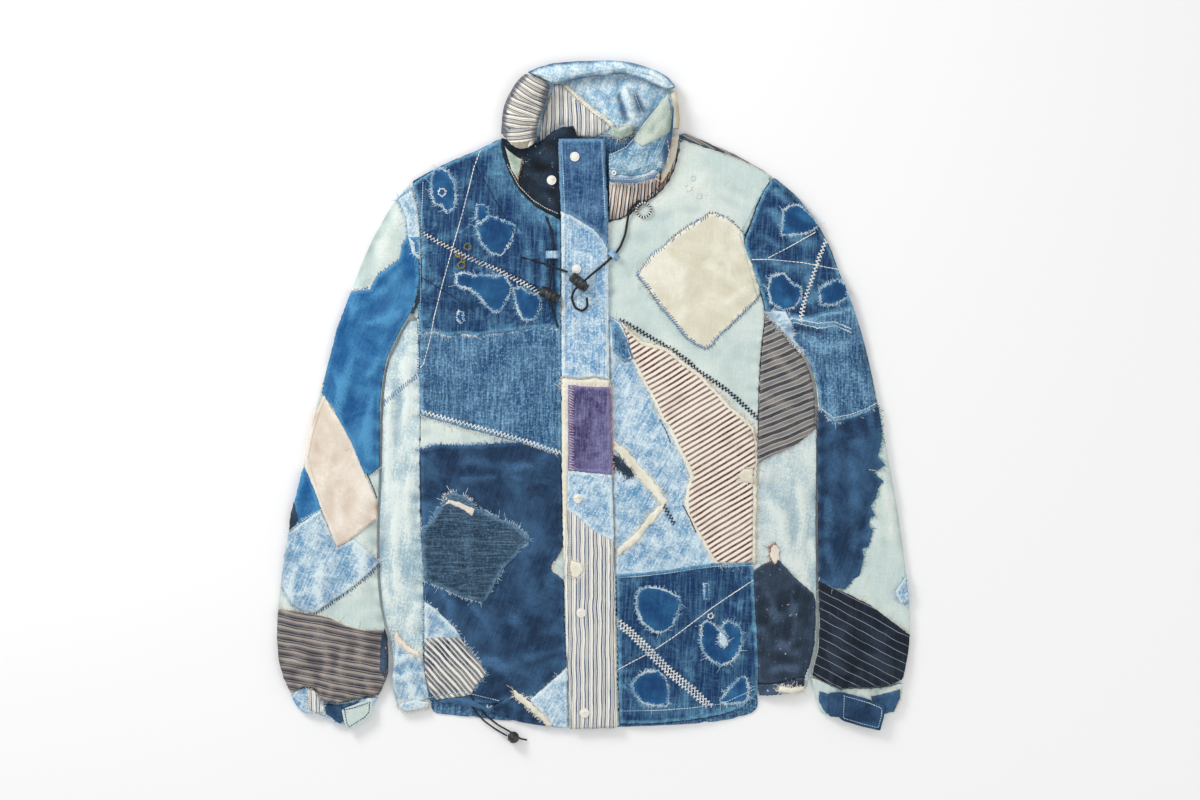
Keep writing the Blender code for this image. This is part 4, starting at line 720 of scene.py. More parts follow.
SLOT_FABRICS = {
    "indigo_denim": ["worn_indigo", "hole_indigo", "bright_blue"],
    "mid_denim": ["mid_denim", "placket_denim", "dark_denim"],
    "light_denim": ["collar_blue", "flap_blue", "washed_blue", "faded_denim", "bleached_denim"],
    "pale_green_cloth": ["olive_cotton", "pale_green", "side_washed", "side_worn"],
    "navy_cloth": ["navy"], "black_cloth": ["black", "pinstripe", "stand_black"],
    "cream_cloth": ["cream", "peach"], "purple_cloth": ["purple"], "blue_tape": ["loop_tape"],
    "striped_cloth": ["ticking_upright", "ticking_slanted", "ticking_roll", "brown_stripe", "stand_stripe"],
    "grey_striped_cloth": ["grey_stripe_left", "grey_stripe_right", "grey_stripe_yoke"],
}
SLOTS = {fabric: slot for slot, names in SLOT_FABRICS.items() for fabric in names}


def scrap(name, surface, fabric, outline, level, ragged):
    """Lays one scrap. level is how far its underside lies above the cloth below, in millimetres."""
    border = resampled(outline, NET * 0.8, True)
    tangent = np.roll(border, -1, 0) - np.roll(border, 1, 0)
    normal = np.stack([tangent[:, 1], -tangent[:, 0]], 1) / np.maximum(np.hypot(*tangent.T), 1e-6)[:, None]
    border = border + normal * (random.uniform(-1, 1, len(border)) * ragged)[:, None]
    low, high = border.min(0), border.max(0)
    filled = []
    for i, y in enumerate(np.arange(low[1], high[1], NET * 0.866)):
        row = np.arange(low[0] + (i % 2) * NET / 2, high[0], NET)
        filled.append(np.stack([row, np.full(len(row), y)], 1))
    filled = np.concatenate(filled)
    filled = filled[inside(filled, border)]
    gap, _ = away(filled, border, True)
    filled = filled[gap > NET * CLEAR_OF_EDGE]
    points = np.concatenate([border, filled])
    spread = [Vector(p) for p in points]
    flat, _, faces, _, _, _ = delaunay_2d_cdt(spread, [], [list(range(len(border)))], 1, 1e-6)
    flat = np.array([tuple(p) for p in flat])
    gap, _ = away(flat, border, True)
    x, y = flat.T
    top = surface.at(x, y) + level + SCRAP + CURL * np.exp(-gap / CURL_REACH)
    count = len(flat)
    corners = [place(*p) for p in zip(x, y, top)] + [place(*p) for p in zip(x, y, top - SCRAP)]
    faces = [tuple(f) for f in faces]
    upward = [f if cross_of(flat, f) > 0 else f[::-1] for f in faces]
    used = {}
    for face in upward:
        for a, b in zip(face, face[1:] + face[:1]):
            used[(a, b)] = used.get((a, b), 0) + 1
    walls = [(a, a + count, b + count, b) for a, b in used if (b, a) not in used]
    below = [tuple(i + count for i in reversed(f)) for f in upward]
    # ridge feeds the rubbed fading, and hollow carries the painted shade of the creases.
    piece = add_mesh(name, corners, upward + below + walls, fabric, edge=np.tile(gap, 2),
                     ridge=np.tile(surface.sample(surface.ridge, x, y), 2),
                     hollow=np.tile(surface.sample(surface.hollow, x, y), 2))
    return piece


def cross_of(flat, face):
    """Twice the signed area of a face in the plane."""
    a, b, c = (flat[i] for i in face[:3])
    return (b[0] - a[0]) * (c[1] - a[1]) - (b[1] - a[1]) * (c[0] - a[0])


# %% [markdown]
# ## The wearer's right front
# From the shoulder down: indigo denim with darker cloth showing through its holes, a mid-blue patch
# with a frayed white edge, a faded green wedge, and a large navy piece with smaller scraps on it.

# %% Right front scraps
RIGHT_FRONT = {
    "right_front_indigo": ("worn_indigo", 0.9, [
        (-117, 323), (-130, 316), (-150, 306), (-168, 299), (-200, 284), (-227, 267), (-224, 255),
        (-219, 240), (-216, 210), (-215, 165), (-216, 140), (-221, 118), (-219, 100), (-217, 81), (-200, 83),
        (-185, 77), (-165, 79), (-145, 77), (-130, 80), (-100, 83), (-80, 86), (-60, 88), (-43, 85),
        (-42, 150), (-42, 223), (-60, 231), (-75, 241), (-88, 253), (-98, 266), (-108, 286), (-114, 305)]),
    "right_front_mid_denim": ("mid_denim", 0.5, [
        (-217, 86), (-150, 84), (-90, 90), (-42, 92), (-41, 0), (-41, -72), (-60, -66), (-80, -60),
        (-100, -55), (-130, -47), (-150, -42), (-165, -38), (-180, -33), (-200, -28), (-217, -22),
        (-218, 30)]),
    "right_front_navy": ("navy", 0.3, [
        (-217, -67), (-205, -63), (-190, -60), (-170, -61), (-150, -61), (-120, -59), (-90, -56), (-60, -60),
        (-41, -66), (-40, -130), (-39, -187), (-46, -200), (-54, -210), (-53, -218), (-45, -223),
        (-38, -229), (-37, -290), (-34, -336), (-45, -348), (-60, -360), (-78, -377), (-88, -383),
        (-100, -372), (-120, -383), (-150, -383), (-205, -380), (-212, -345), (-213, -275), (-213, -200),
        (-216, -130)]),
    "right_front_dark_denim": ("dark_denim", 0.9, [
        (-216, -168), (-205, -158), (-190, -133), (-186, -128), (-178, -131), (-165, -136), (-152, -139),
        (-148, -138), (-130, -147), (-100, -160), (-88, -170), (-80, -178), (-90, -186), (-97, -198),
        (-112, -213), (-120, -225), (-134, -253), (-140, -257), (-165, -250), (-195, -236), (-212, -230)]),
    "right_front_lining": ("peach", 1.3, [
        (-187, -135), (-180, -133), (-165, -140), (-152, -149), (-150, -140), (-164, -132), (-180, -126)]),
    "right_front_rip": ("dark_denim", 1.9, [
        (-187, -124), (-175, -119), (-165, -123), (-152, -131), (-148, -139), (-157, -137), (-168, -131),
        (-180, -129)]),
    "right_front_washed": ("washed_blue", 0.8, [
        (-212, -256), (-204, -261), (-195, -268), (-183, -280), (-172, -292), (-167, -301), (-185, -303),
        (-212, -304)]),
    "right_front_ticking": ("ticking_slanted", 1.1, [
        (-212, -302), (-190, -301), (-168, -302), (-155, -318), (-140, -335), (-135, -347), (-148, -360),
        (-153, -372), (-175, -376), (-198, -379), (-207, -365), (-212, -345)]),
    "right_front_faded_wedge": ("faded_denim", 0.5, [
        (-33, -338), (-45, -349), (-60, -362), (-80, -379), (-72, -389), (-62, -400), (-50, -412),
        (-33, -414)]),
    "right_front_black_wedge": ("navy", 0.8, [
        (-100, -371), (-85, -381), (-62, -402), (-56, -412), (-78, -409), (-100, -404), (-138, -393),
        (-120, -384)]),
    "right_front_cream_rim": ("cream", 1.1, [
        (-101, -366), (-96, -369), (-82, -380), (-60, -400), (-52, -411), (-57, -413), (-66, -404),
        (-86, -385), (-100, -374)]),
    "right_front_hem": ("navy", 1.0, [
        (-205, -383), (-180, -377), (-165, -376), (-153, -379), (-140, -386), (-118, -396), (-135, -393),
        (-150, -388), (-180, -383)]),
    "hole_shoulder_outer": ("hole_indigo", 1.25, [
        (-203, 272), (-200, 283), (-190, 286), (-182, 280), (-175, 268), (-173, 250), (-176, 237),
        (-183, 230), (-190, 240), (-200, 243), (-203, 255)]),
    "hole_shoulder_small": ("hole_indigo", 1.25, [
        (-146, 240), (-138, 240), (-133, 235), (-133, 225), (-143, 216), (-147, 225)]),
    "hole_chest_upper": ("hole_indigo", 1.25, [
        (-132, 226), (-117, 222), (-99, 215), (-101, 204), (-103, 195), (-115, 178), (-128, 180),
        (-140, 192), (-147, 213)]),
    "hole_chest_middle": ("hole_indigo", 1.25, [
        (-172, 152), (-165, 155), (-150, 151), (-140, 152), (-125, 150), (-112, 152), (-105, 140),
        (-107, 125), (-117, 108), (-125, 106), (-135, 115), (-145, 128), (-155, 135), (-171, 140)]),
    "hole_chest_inner": ("hole_indigo", 1.25, [
        (-100, 135), (-90, 137), (-82, 130), (-70, 128), (-66, 118), (-68, 110), (-75, 97), (-88, 97),
        (-95, 110)]),
    "hole_chest_dot": ("hole_indigo", 1.25, [(-170, 107), (-164, 106), (-163, 96), (-167, 92), (-171, 98)]),
    "armhole_dark_strip": ("black", 1.3, [
        (-226, 168), (-217, 167), (-215, 145), (-218, 120), (-226, 104), (-233, 105), (-229, 130),
        (-228, 160)]),
}
RIGHT_SIDE = {
    "right_side_washed": ("washed_blue", 0.4, [
        (-249, -303), (-235, -312), (-218, -321), (-212, -345), (-207, -376), (-225, -384), (-243, -388),
        (-251, -366), (-252, -350), (-249, -325)]),
    "right_side_peach_seam": ("peach", 0.8, [
        (-249, -292), (-243, -300), (-230, -314), (-219, -320), (-218, -325), (-233, -320), (-249, -304)]),
    "right_side_cream_hem": ("washed_blue", 0.8, [
        (-245, -388), (-236, -393), (-225, -392), (-207, -388), (-206, -382), (-225, -379), (-243, -384)]),
}

# %% [markdown]
# ## The wearer's left front and sides
# The left front is faded green cotton. A cream diamond, a long wedge of brown stripe, pale denim and
# an indigo panel with holes are sewn on it.

# %% Left front and side scraps
LEFT_FRONT = {
    "left_front_faded_denim": ("faded_denim", 0.3, [
        (20, 100), (33, 93), (50, 55), (65, 20), (80, -8), (98, -40), (112, -70), (125, -100), (118, -130),
        (122, -150), (150, -203), (155, -210), (120, -214), (90, -219), (60, -222), (27, -224), (24, -95),
        (21, 0)]),
    "left_front_stripe_margin": ("cream", 0.5, [
        (33, 95), (45, 84), (60, 70), (92, 61), (112, 44), (132, 29), (152, 9), (168, -9), (183, -22),
        (193, -30), (201, -42), (204, -60), (204, -84), (202, -209), (153, -210), (147, -203), (136, -182),
        (126, -165), (116, -145), (114, -130), (116, -115), (120, -100), (115, -85), (107, -70), (100, -55),
        (93, -38), (83, -25), (75, -6), (60, 22), (45, 52)]),
    "left_front_brown_stripe": ("brown_stripe", 0.8, [
        (36, 89), (48, 76), (60, 65), (90, 57), (110, 40), (130, 25), (150, 5), (165, -12), (180, -25),
        (190, -33), (198, -43), (202, -60), (202, -84), (199, -100), (198, -207), (156, -207), (150, -201),
        (140, -182), (130, -165), (120, -145), (118, -130), (120, -115), (125, -100), (120, -85), (112, -70),
        (105, -55), (98, -40), (88, -27), (80, -8), (65, 20), (50, 48)]),
    "left_front_cream_notch": ("cream", 1.3, [
        (199, -89), (190, -90), (184, -92), (180, -98), (186, -106), (199, -109)]),
    "left_front_diamond": ("cream", 0.7, [
        (55, 153), (64, 166), (75, 180), (85, 186), (100, 200), (118, 213), (135, 222), (145, 229),
        (152, 229), (165, 224), (180, 212), (186, 205), (190, 185), (198, 165), (205, 148), (208, 130),
        (200, 119), (185, 105), (170, 90), (155, 77), (147, 65), (140, 61), (130, 65), (115, 76), (100, 95),
        (85, 112), (70, 134)]),
    "left_front_blue_bits": ("mid_denim", 0.6, [(21, 98), (31, 91), (40, 74), (50, 48), (38, 42), (24, 56)]),
    "left_front_seam_upper": ("cream", 0.7, [
        (23, -54), (42, -67), (54, -82), (68, -97), (80, -112), (92, -131), (88, -139), (74, -122),
        (60, -106), (48, -91), (36, -77), (23, -64)]),
    "left_front_slit": ("black", 1.2, [(24, -71), (34, -79), (47, -92), (50, -99), (42, -99), (24, -84)]),
    "left_front_seam_lower": ("cream", 0.7, [
        (85, -134), (75, -142), (62, -157), (52, -170), (28, -193), (27, -201), (40, -192), (56, -178),
        (68, -163), (82, -146), (88, -139)]),
    "left_front_indigo": ("worn_indigo", 0.7, [
        (28, -222), (60, -220), (90, -217), (120, -212), (150, -208), (199, -207), (200, -245), (203, -290),
        (205, -320), (205, -371), (186, -388), (160, -397), (120, -404), (80, -408), (32, -409)]),
    "hole_panel_first": ("hole_indigo", 1.05, [
        (58, -241), (65, -239), (80, -240), (95, -245), (105, -250), (107, -258), (105, -267), (98, -285),
        (85, -294), (75, -293), (60, -280), (54, -265), (54, -250)]),
    "hole_panel_second": ("hole_indigo", 1.05, [
        (135, -285), (140, -280), (150, -285), (157, -293), (165, -297), (160, -287), (168, -280),
        (180, -287), (185, -297), (184, -310), (180, -320), (172, -330), (160, -335), (148, -330),
        (138, -320), (134, -308)]),
    "hole_panel_third": ("hole_indigo", 1.05, [
        (55, -350), (65, -344), (80, -343), (88, -350), (93, -370), (92, -385), (75, -386), (60, -382),
        (50, -368), (48, -360)]),
    "hole_panel_fourth": ("hole_indigo", 1.05, [
        (183, -351), (190, -352), (193, -365), (192, -377), (185, -382), (165, -384), (158, -380),
        (170, -365)]),
    "hole_panel_tongue": ("faded_denim", 1.3, [
        (157, -293), (165, -300), (168, -310), (163, -314), (157, -306)]),
    "hole_panel_slit": ("hole_indigo", 1.05, [(138, -234), (143, -234), (143, -252), (138, -253)]),
}
LEFT_SIDE = {
    "left_side_stripe": ("grey_stripe_left", 0.4, [
        (214, 95), (226, 90), (238, 76), (252, 58), (264, 45), (272, 22), (276, -2), (277, -40), (270, -46),
        (255, -58), (240, -66), (225, -72), (210, -80), (204, -86), (206, -40), (208, 20), (210, 60)]),
    "left_side_black": ("black", 0.4, [
        (199, -219), (210, -210), (225, -205), (230, -203), (240, -213), (250, -225), (262, -235),
        (275, -247), (277, -256), (277, -285), (275, -312), (270, -332), (262, -350), (250, -352),
        (225, -358), (206, -358), (203, -300), (200, -245)]),
    "left_side_torn_spot": ("peach", 0.8, [
        (222, -187), (228, -184), (233, -192), (231, -203), (226, -208), (221, -199)]),
    "left_side_black_hem": ("black", 0.8, [
        (206, -360), (225, -360), (250, -354), (263, -352), (263, -366), (246, -371), (225, -373),
        (207, -374)]),
    "left_side_cream_hem": ("cream", 1.2, [
        (231, -368), (245, -371), (262, -367), (264, -362), (246, -364), (232, -361)]),
}
laid = {}
scrap_places = {}
STANDS_FOR = {
    "right_front_mid_denim": "patch_mid_denim", "right_front_navy": "patch_navy",
    "right_front_dark_denim": "patch_dark_denim", "right_front_ticking": "patch_ticking",
    "left_front_diamond": "patch_cream", "left_front_brown_stripe": "patch_brown_stripe",
    "left_front_faded_denim": "patch_light_denim", "left_front_indigo": "patch_indigo",
    "placket_purple": "patch_purple", "right_arm_peach": "patch_peach",
    "right_arm_washed": "patch_washed_denim",
}
RAGGED = {      # mm that a border wanders, where it wanders more than others
    "neck_seam": 0.8, "left_front_seam_upper": 1.3, "left_front_seam_lower": 1.3,
    "left_front_stripe_margin": 1.1, "right_front_cream_rim": 1.2, "placket_cream": 0.9,
    "left_front_cream_notch": 1.2, "right_side_peach_seam": 1.1, "left_side_torn_spot": 1.3,
    "placket_worn_spot": 1.2,
}
PLAIN_BORDER = 0.5    # mm


def lay_scraps(surface, *tables):
    """Lays every scrap of some tables, and hides the solid that a scrap stands for."""
    for pieces in tables:
        for name, (fabric, level, outline) in pieces.items():
            piece = scrap(name, surface, fabric, outline, level, RAGGED.get(name, PLAIN_BORDER))
            laid.setdefault(id(surface), []).append((np.array(outline, float), level))
            scrap_places[name] = (surface, outline)
            if name in STANDS_FOR:
                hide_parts(STANDS_FOR[name])


lay_scraps(body, RIGHT_FRONT, RIGHT_SIDE, LEFT_FRONT, LEFT_SIDE)
print("body scraps:", len(RIGHT_FRONT) + len(RIGHT_SIDE) + len(LEFT_FRONT) + len(LEFT_SIDE))

# %% [markdown]
# ## The sleeves
# The right sleeve runs from faded green through bright blue and a peach patch to a striped cuff
# piece. The left one is indigo with holes, then plain denim, a long navy piece and a black pinstripe.

# %% Sleeve scraps
RIGHT_ARM = {
    "right_arm_washed_top": ("washed_blue", 0.4, [
        (-245, 247), (-239, 235), (-235, 226), (-232, 200), (-228, 180), (-218, 172), (-218, 205),
        (-221, 235), (-228, 258), (-236, 254)]),
    "right_arm_bright_blue": ("bright_blue", 0.4, [
        (-305, 130), (-295, 133), (-280, 134), (-272, 150), (-250, 167), (-243, 172), (-240, 190),
        (-233, 200), (-219, 200), (-219, 140), (-224, 118), (-230, 104), (-241, 86), (-252, 64), (-260, 46),
        (-265, 20), (-268, -10), (-269, -88), (-282, -98), (-283, -98), (-295, -85), (-300, -70),
        (-303, -58), (-310, -45), (-318, -30), (-325, -15), (-340, 4), (-333, 40), (-322, 85)]),
    "right_arm_left_wedge": ("bright_blue", 0.4, [
        (-362, -87), (-357, -95), (-350, -115), (-340, -142), (-352, -150), (-369, -157), (-381, -166),
        (-374, -128), (-366, -95)]),
    "right_arm_black_wedge": ("black", 0.8, [(-376, -130), (-370, -155), (-382, -167), (-380, -150)]),
    "right_arm_peach": ("peach", 0.8, [
        (-338, 2), (-350, -22), (-357, -50), (-362, -75), (-362, -88), (-350, -115), (-340, -142),
        (-333, -160), (-322, -188), (-312, -183), (-297, -172), (-272, -152), (-272, -130), (-280, -110),
        (-288, -95), (-303, -58), (-318, -30)]),
    "right_arm_washed": ("washed_blue", 0.6, [
        (-382, -170), (-369, -160), (-355, -150), (-342, -142), (-333, -162), (-321, -188), (-310, -183),
        (-300, -178), (-285, -190), (-269, -207), (-283, -221), (-300, -236), (-320, -250), (-335, -260),
        (-350, -270), (-363, -268), (-378, -258), (-391, -236), (-388, -200)]),
    "right_arm_grey_stripe": ("grey_stripe_right", 0.6, [
        (-395, -266), (-380, -268), (-350, -272), (-330, -277), (-310, -287), (-290, -292), (-265, -293),
        (-260, -310), (-258, -340), (-262, -358), (-270, -373), (-292, -375), (-318, -382), (-338, -381),
        (-345, -370), (-352, -362), (-360, -360), (-372, -366), (-380, -370), (-388, -352), (-394, -330),
        (-396, -300)]),
    "right_arm_black_shadow": ("black", 0.9, [
        (-262, -290), (-258, -302), (-258, -340), (-262, -352), (-268, -340), (-267, -305)]),
}
LEFT_ARM = {
    "left_arm_indigo": ("worn_indigo", 0.4, [
        (224, 274), (240, 263), (255, 249), (270, 230), (283, 211), (296, 184), (308, 150), (324, 114),
        (310, 107), (290, 104), (270, 97), (255, 99), (235, 104), (215, 108), (210, 128), (204, 148),
        (197, 168), (189, 186), (189, 198), (196, 214), (204, 238), (212, 256)]),
    "left_arm_mid_denim": ("mid_denim", 0.6, [
        (215, 108), (235, 105), (255, 100), (270, 98), (290, 105), (310, 108), (324, 114), (338, 68),
        (347, 28), (354, -12), (340, -20), (330, -23), (320, -27), (300, -31), (290, -22), (282, -12),
        (280, 10), (276, 26), (268, 48), (256, 61), (244, 73), (230, 91)]),
    "left_arm_worn_seam": ("faded_denim", 1.0, [
        (216, 106), (228, 108), (240, 107), (248, 90), (250, 72), (264, 54), (256, 61), (244, 73),
        (230, 91)]),
    "left_arm_navy": ("navy", 0.4, [
        (281, -14), (300, -30), (320, -26), (340, -19), (355, -12), (360, -44), (358, -62), (355, -75),
        (364, -85), (350, -95), (361, -105), (355, -115), (350, -130), (345, -135), (351, -148), (345, -150),
        (343, -160), (348, -167), (345, -178), (343, -185), (335, -190), (337, -200), (333, -220),
        (325, -225), (320, -233), (312, -240), (298, -238), (281, -231), (280, -150), (280, -100),
        (280, -40)]),
    "left_arm_pinstripe": ("pinstripe", 0.6, [
        (281, -230), (295, -236), (308, -242), (325, -250), (345, -260), (365, -275), (385, -290),
        (395, -298), (392, -322), (388, -342), (385, -354), (368, -361), (348, -363), (325, -363),
        (306, -364), (290, -356), (273, -348), (276, -334), (281, -315), (283, -285), (282, -250)]),
    "left_arm_washed_bit": ("washed_blue", 0.5, [
        (377, -243), (383, -234), (390, -225), (394, -257), (383, -258)]),
    "hole_left_arm_top": ("hole_indigo", 0.75, [
        (237, 232), (245, 238), (255, 240), (262, 235), (272, 225), (280, 215), (268, 205), (255, 203),
        (235, 203)]),
    "hole_left_arm_middle": ("hole_indigo", 0.75, [
        (222, 150), (237, 155), (250, 140), (258, 138), (260, 125), (250, 113), (235, 110), (222, 118),
        (218, 135)]),
    "hole_left_arm_outer": ("hole_indigo", 0.75, [
        (282, 135), (295, 142), (305, 147), (314, 140), (318, 125), (300, 115), (284, 116)]),
}
lay_scraps(arm_right, RIGHT_ARM)
lay_scraps(arm_left, LEFT_ARM)

# %% [markdown]
# ## The placket
# The strip that covers the zip is pieced too: dark denim at the neck, bleached denim, a narrow cream
# strip, a purple patch, pale denim and upright ticking down to the hem.

# %% Placket scraps
PLACKET = {
    "placket_dark_denim": ("placket_denim", 0.1, [
        (-44, 322), (-43, 268), (-41, 232), (-30, 228), (-15, 219), (0, 210), (10, 198), (17, 186),
        (17, 225), (15, 268), (13, 322)]),
    "placket_bleached": ("bleached_denim", 0.1, [
        (-41, 231), (-30, 227), (-15, 218), (0, 209), (10, 197), (17, 185), (18, 120), (19, 22), (0, 26),
        (-20, 23), (-40, 26), (-40, 120)]),
    "placket_cream": ("cream", 0.3, [
        (-40, 23), (-20, 21), (0, 23), (19, 21), (19, 11), (-10, 10), (-40, 11)]),
    "placket_cream_margin": ("cream", 0.4, [
        (-40, 12), (-32, 12), (-32, -60), (-34, -150), (-36, -205), (-38, -205), (-40, -100)]),
    "placket_purple": ("purple", 0.5, [
        (-32, 15), (-5, 13), (19, 12), (21, -60), (22, -97), (-5, -94), (-32, -91)]),
    "placket_pale_denim": ("faded_denim", 0.2, [
        (-34, -92), (-5, -95), (22, -97), (24, -140), (25, -181), (10, -173), (0, -167), (-10, -160),
        (-20, -150), (-30, -143), (-35, -141)]),
    "placket_ticking": ("ticking_upright", 0.1, [
        (-36, -138), (-30, -142), (-20, -149), (-10, -159), (0, -166), (10, -171), (25, -180), (26, -235),
        (27, -290), (28, -350), (29, -413), (-30, -415), (-32, -360), (-35, -290), (-37, -205)]),
    "placket_worn_spot": ("cream", 0.5, [
        (-30, -205), (-22, -206), (-15, -208), (-13, -220), (-25, -227), (-30, -218)]),
}
lay_scraps(strip, PLACKET)

# %% [markdown]
# ## Scraps on the collar
# The inner neck is ticking up to a frayed slanting seam and pale denim beyond it. The turned flap
# shows some of its olive lining, and a cream strip runs down its outer side.

# %% Collar scraps
NECK_SCRAPS = {
    "neck_ticking": ("ticking_upright", 0.2, [
        (-68, 322), (-66, 345), (-60, 362), (-54, 380), (-50, 391), (-42, 391), (-36, 386), (-20, 373),
        (-6, 361), (8, 349), (21, 339), (12, 331), (0, 325), (-22, 327), (-40, 324), (-56, 320)]),
    "neck_seam": ("cream", 1.0, [
        (-39, 390), (-35, 391.5), (-18, 377.5), (2, 360), (26, 341), (24, 337), (0, 355), (-20, 372.5)]),
    "neck_strap": ("black", 0.9, [
        (-70, 316), (-60, 326), (-50, 334), (-40, 338), (-26, 340), (-22, 331), (-38, 328), (-50, 320),
        (-60, 314)]),
    "neck_tear": ("olive_cotton", 0.5, [
        (22, 340), (30, 336), (46, 341), (52, 336), (48, 329), (34, 322), (22, 328)]),
}
FLAP_SCRAPS = {
    "flap_lining": ("olive_cotton", 0.1, [
        (92, 377), (84, 368), (76, 358), (62, 341), (53, 326), (49, 319), (60, 312), (78, 321), (95, 330),
        (97, 350)]),
    "flap_hem": ("faded_denim", 0.3, [
        (20, 276), (34, 276), (46, 275), (62, 277), (74, 283), (80, 281), (76, 274), (60, 269), (46, 267),
        (20, 268)]),
}
STAND_SCRAPS = {
    "stand_green_wedge": ("olive_cotton", 0.3, [
        (-112, 314), (-101, 303), (-90, 297), (-92, 283), (-95, 271), (-103, 284)]),
}
STAND_LEFT_SCRAPS = {
    "stand_cream_side": ("cream", 0.4, [
        (97, 326), (106, 328), (105, 314), (101, 298), (95, 283), (88, 272), (84, 268), (84, 280), (90, 296),
        (95, 312)]),
}
lay_scraps(neck_back, NECK_SCRAPS)
lay_scraps(flap_face, FLAP_SCRAPS)
lay_scraps(stand_right, STAND_SCRAPS)
lay_scraps(stand_left, STAND_LEFT_SCRAPS)

# %% [markdown]
# ## Scraps on the cuffs
# The cuffs are gathered from whatever was left: pale denim, ticking and navy on the right, faded
# cotton and navy on the left.

# %% Cuff scraps
RIGHT_WRIST = {
    "right_cuff_ticking": ("ticking_upright", 0.2, [
        (-358, -366), (-350, -368), (-342, -380), (-337, -393), (-345, -396), (-356, -391)]),
    "right_cuff_navy": ("navy", 0.3, [
        (-338, -384), (-320, -385), (-300, -382), (-292, -378), (-300, -386), (-315, -391), (-312, -404),
        (-318, -409), (-328, -402), (-336, -396)]),
}
LEFT_WRIST = {
    "left_cuff_navy": ("navy", 0.3, [
        (347, -375), (365, -371), (383, -366), (383, -377), (375, -394), (364, -396), (350, -384)]),
    "left_cuff_navy_inner": ("navy", 0.3, [
        (282, -368), (294, -372), (308, -374), (308, -396), (290, -396), (281, -380)]),
}
lay_scraps(wrist_right, RIGHT_WRIST)
lay_scraps(wrist_left, LEFT_WRIST)

# %% [markdown]
# ## The panels below
# Under the scraps lie the panels themselves. Each is a copy of its solid: doubled corners are merged,
# long edges are cut, and the copy is relaxed so that its facets melt into cloth. Its upper face then
# takes the same heights as the scraps. Where a scrap covers a panel, the panel's rolled edge takes
# the scrap's fabric, so that sides and underside carry on what shows above.

# %% Dressing a solid
MERGE = 2e-5          # m, corners nearer than this are one
FACES_UP = 0.3        # least upward part of a normal where a shell takes the drawn heights
LOWEST_TOP = 4.2      # mm, below which a shell keeps its solid's form
FURTHEST_MOVE = 5.5   # mm
SINK = 0.1            # mm that a shell lies under the drawn heights
LOWEST_RUMPLE = 2.5   # mm, below which the cloth rests flat
PULLED_IN = 0.012     # share that a face's middle is drawn inwards before its scrap is looked up


def relaxed_copy(node, longest, rounds):
    """The solid's mesh with merged corners, short edges and softened facets."""
    work = bmesh.new()
    work.from_mesh(nodes[node].data)
    bmesh.ops.remove_doubles(work, verts=work.verts, dist=MERGE)
    for _ in range(5):
        cut = [e for e in work.edges if e.calc_length() > longest * MM]
        if not cut:
            break
        bmesh.ops.subdivide_edges(work, edges=cut, cuts=1, use_grid_fill=False)
        bmesh.ops.triangulate(work, faces=[f for f in work.faces if len(f.verts) > 3])
    for _ in range(rounds):
        bmesh.ops.smooth_vert(work, verts=work.verts, factor=0.5, use_axis_x=True, use_axis_y=True,
                              use_axis_z=True)
    return work


def dressed(node, surface, ground, cover=None, longest=6.5, rounds=3, rumple=0.0):
    """A cloth shell on a solid. cover is a table of scraps whose fabrics carry over to the shell."""
    work = relaxed_copy(node, longest, rounds)
    work.normal_update()
    if surface is not None:
        for vert in work.verts:
            x, y = vert.co.x / MM - SHIFT_X, vert.co.y / MM - SHIFT_Y
            height = float(surface.at(x, y)) - SINK
            near = abs(vert.co.z / MM - height) < FURTHEST_MOVE and vert.co.z / MM > LOWEST_TOP
            if vert.normal.z > FACES_UP and near:
                vert.co.z += (height * MM - vert.co.z) * min(1.0, (vert.normal.z - FACES_UP) * 3)
    work.normal_update()
    if rumple:
        for vert in work.verts:
            x, y, z = (c / MM for c in vert.co)
            wave = (math.sin(x / 5.3 + 2.1 * math.sin(y / 17))
                    + math.sin(y / 6.1 + 1.7 * math.sin(x / 13 + z / 7))
                    + 0.6 * math.sin((x + y) / 2.9 + z / 3))
            if z > LOWEST_RUMPLE:
                vert.co += vert.normal * wave * rumple * MM
    names = [ground]
    if cover:
        outlines = [(fabric, np.array(outline)) for fabric, level, outline in
                    sorted(cover.values(), key=lambda row: -row[1])]
        middles = [face.calc_center_median() for face in work.faces]
        centres = np.array([[middle.x / MM - SHIFT_X, middle.y / MM - SHIFT_Y] for middle in middles])
        centres += (centres.mean(0) - centres) * PULLED_IN
        choice = np.full(len(centres), -1)
        for index, (_, outline) in enumerate(outlines):
            hit = inside(centres, outline) & (choice < 0)
            choice[hit] = index
        work.faces.ensure_lookup_table()
        for face, index in zip(work.faces, choice):
            if index >= 0:
                fabric = outlines[index][0]
                if fabric not in names:
                    names.append(fabric)
                face.material_index = names.index(fabric)
    mesh = bpy.data.meshes.new(node + "_cloth")
    work.to_mesh(mesh)
    work.free()
    for fabric in names:
        mesh.materials.append(fabrics[fabric])
    co = np.array([v.co for v in mesh.vertices]) / MM
    x, y = co[:, 0] - SHIFT_X, co[:, 1] - SHIFT_Y
    count = len(co)
    add_values(mesh, edge=np.full(count, NO_RIM))
    # hollow carries the painted shade of the creases, and ridge feeds the rubbed fading.
    if surface is None:
        add_values(mesh, ridge=np.zeros(count), hollow=np.zeros(count))
    else:
        add_values(mesh, ridge=surface.sample(surface.ridge, x, y),
                   hollow=surface.sample(surface.hollow, x, y))
    mesh.shade_smooth()
    piece = add_object(node + "_cloth", mesh)
    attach(piece, "root")
    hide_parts(node)
    return piece


def cloth_area(piece):
    """Half of a closed cloth's outer area, which is the area of its cut, in square metres."""
    return sum(p.area for p in piece.data.polygons) / 2


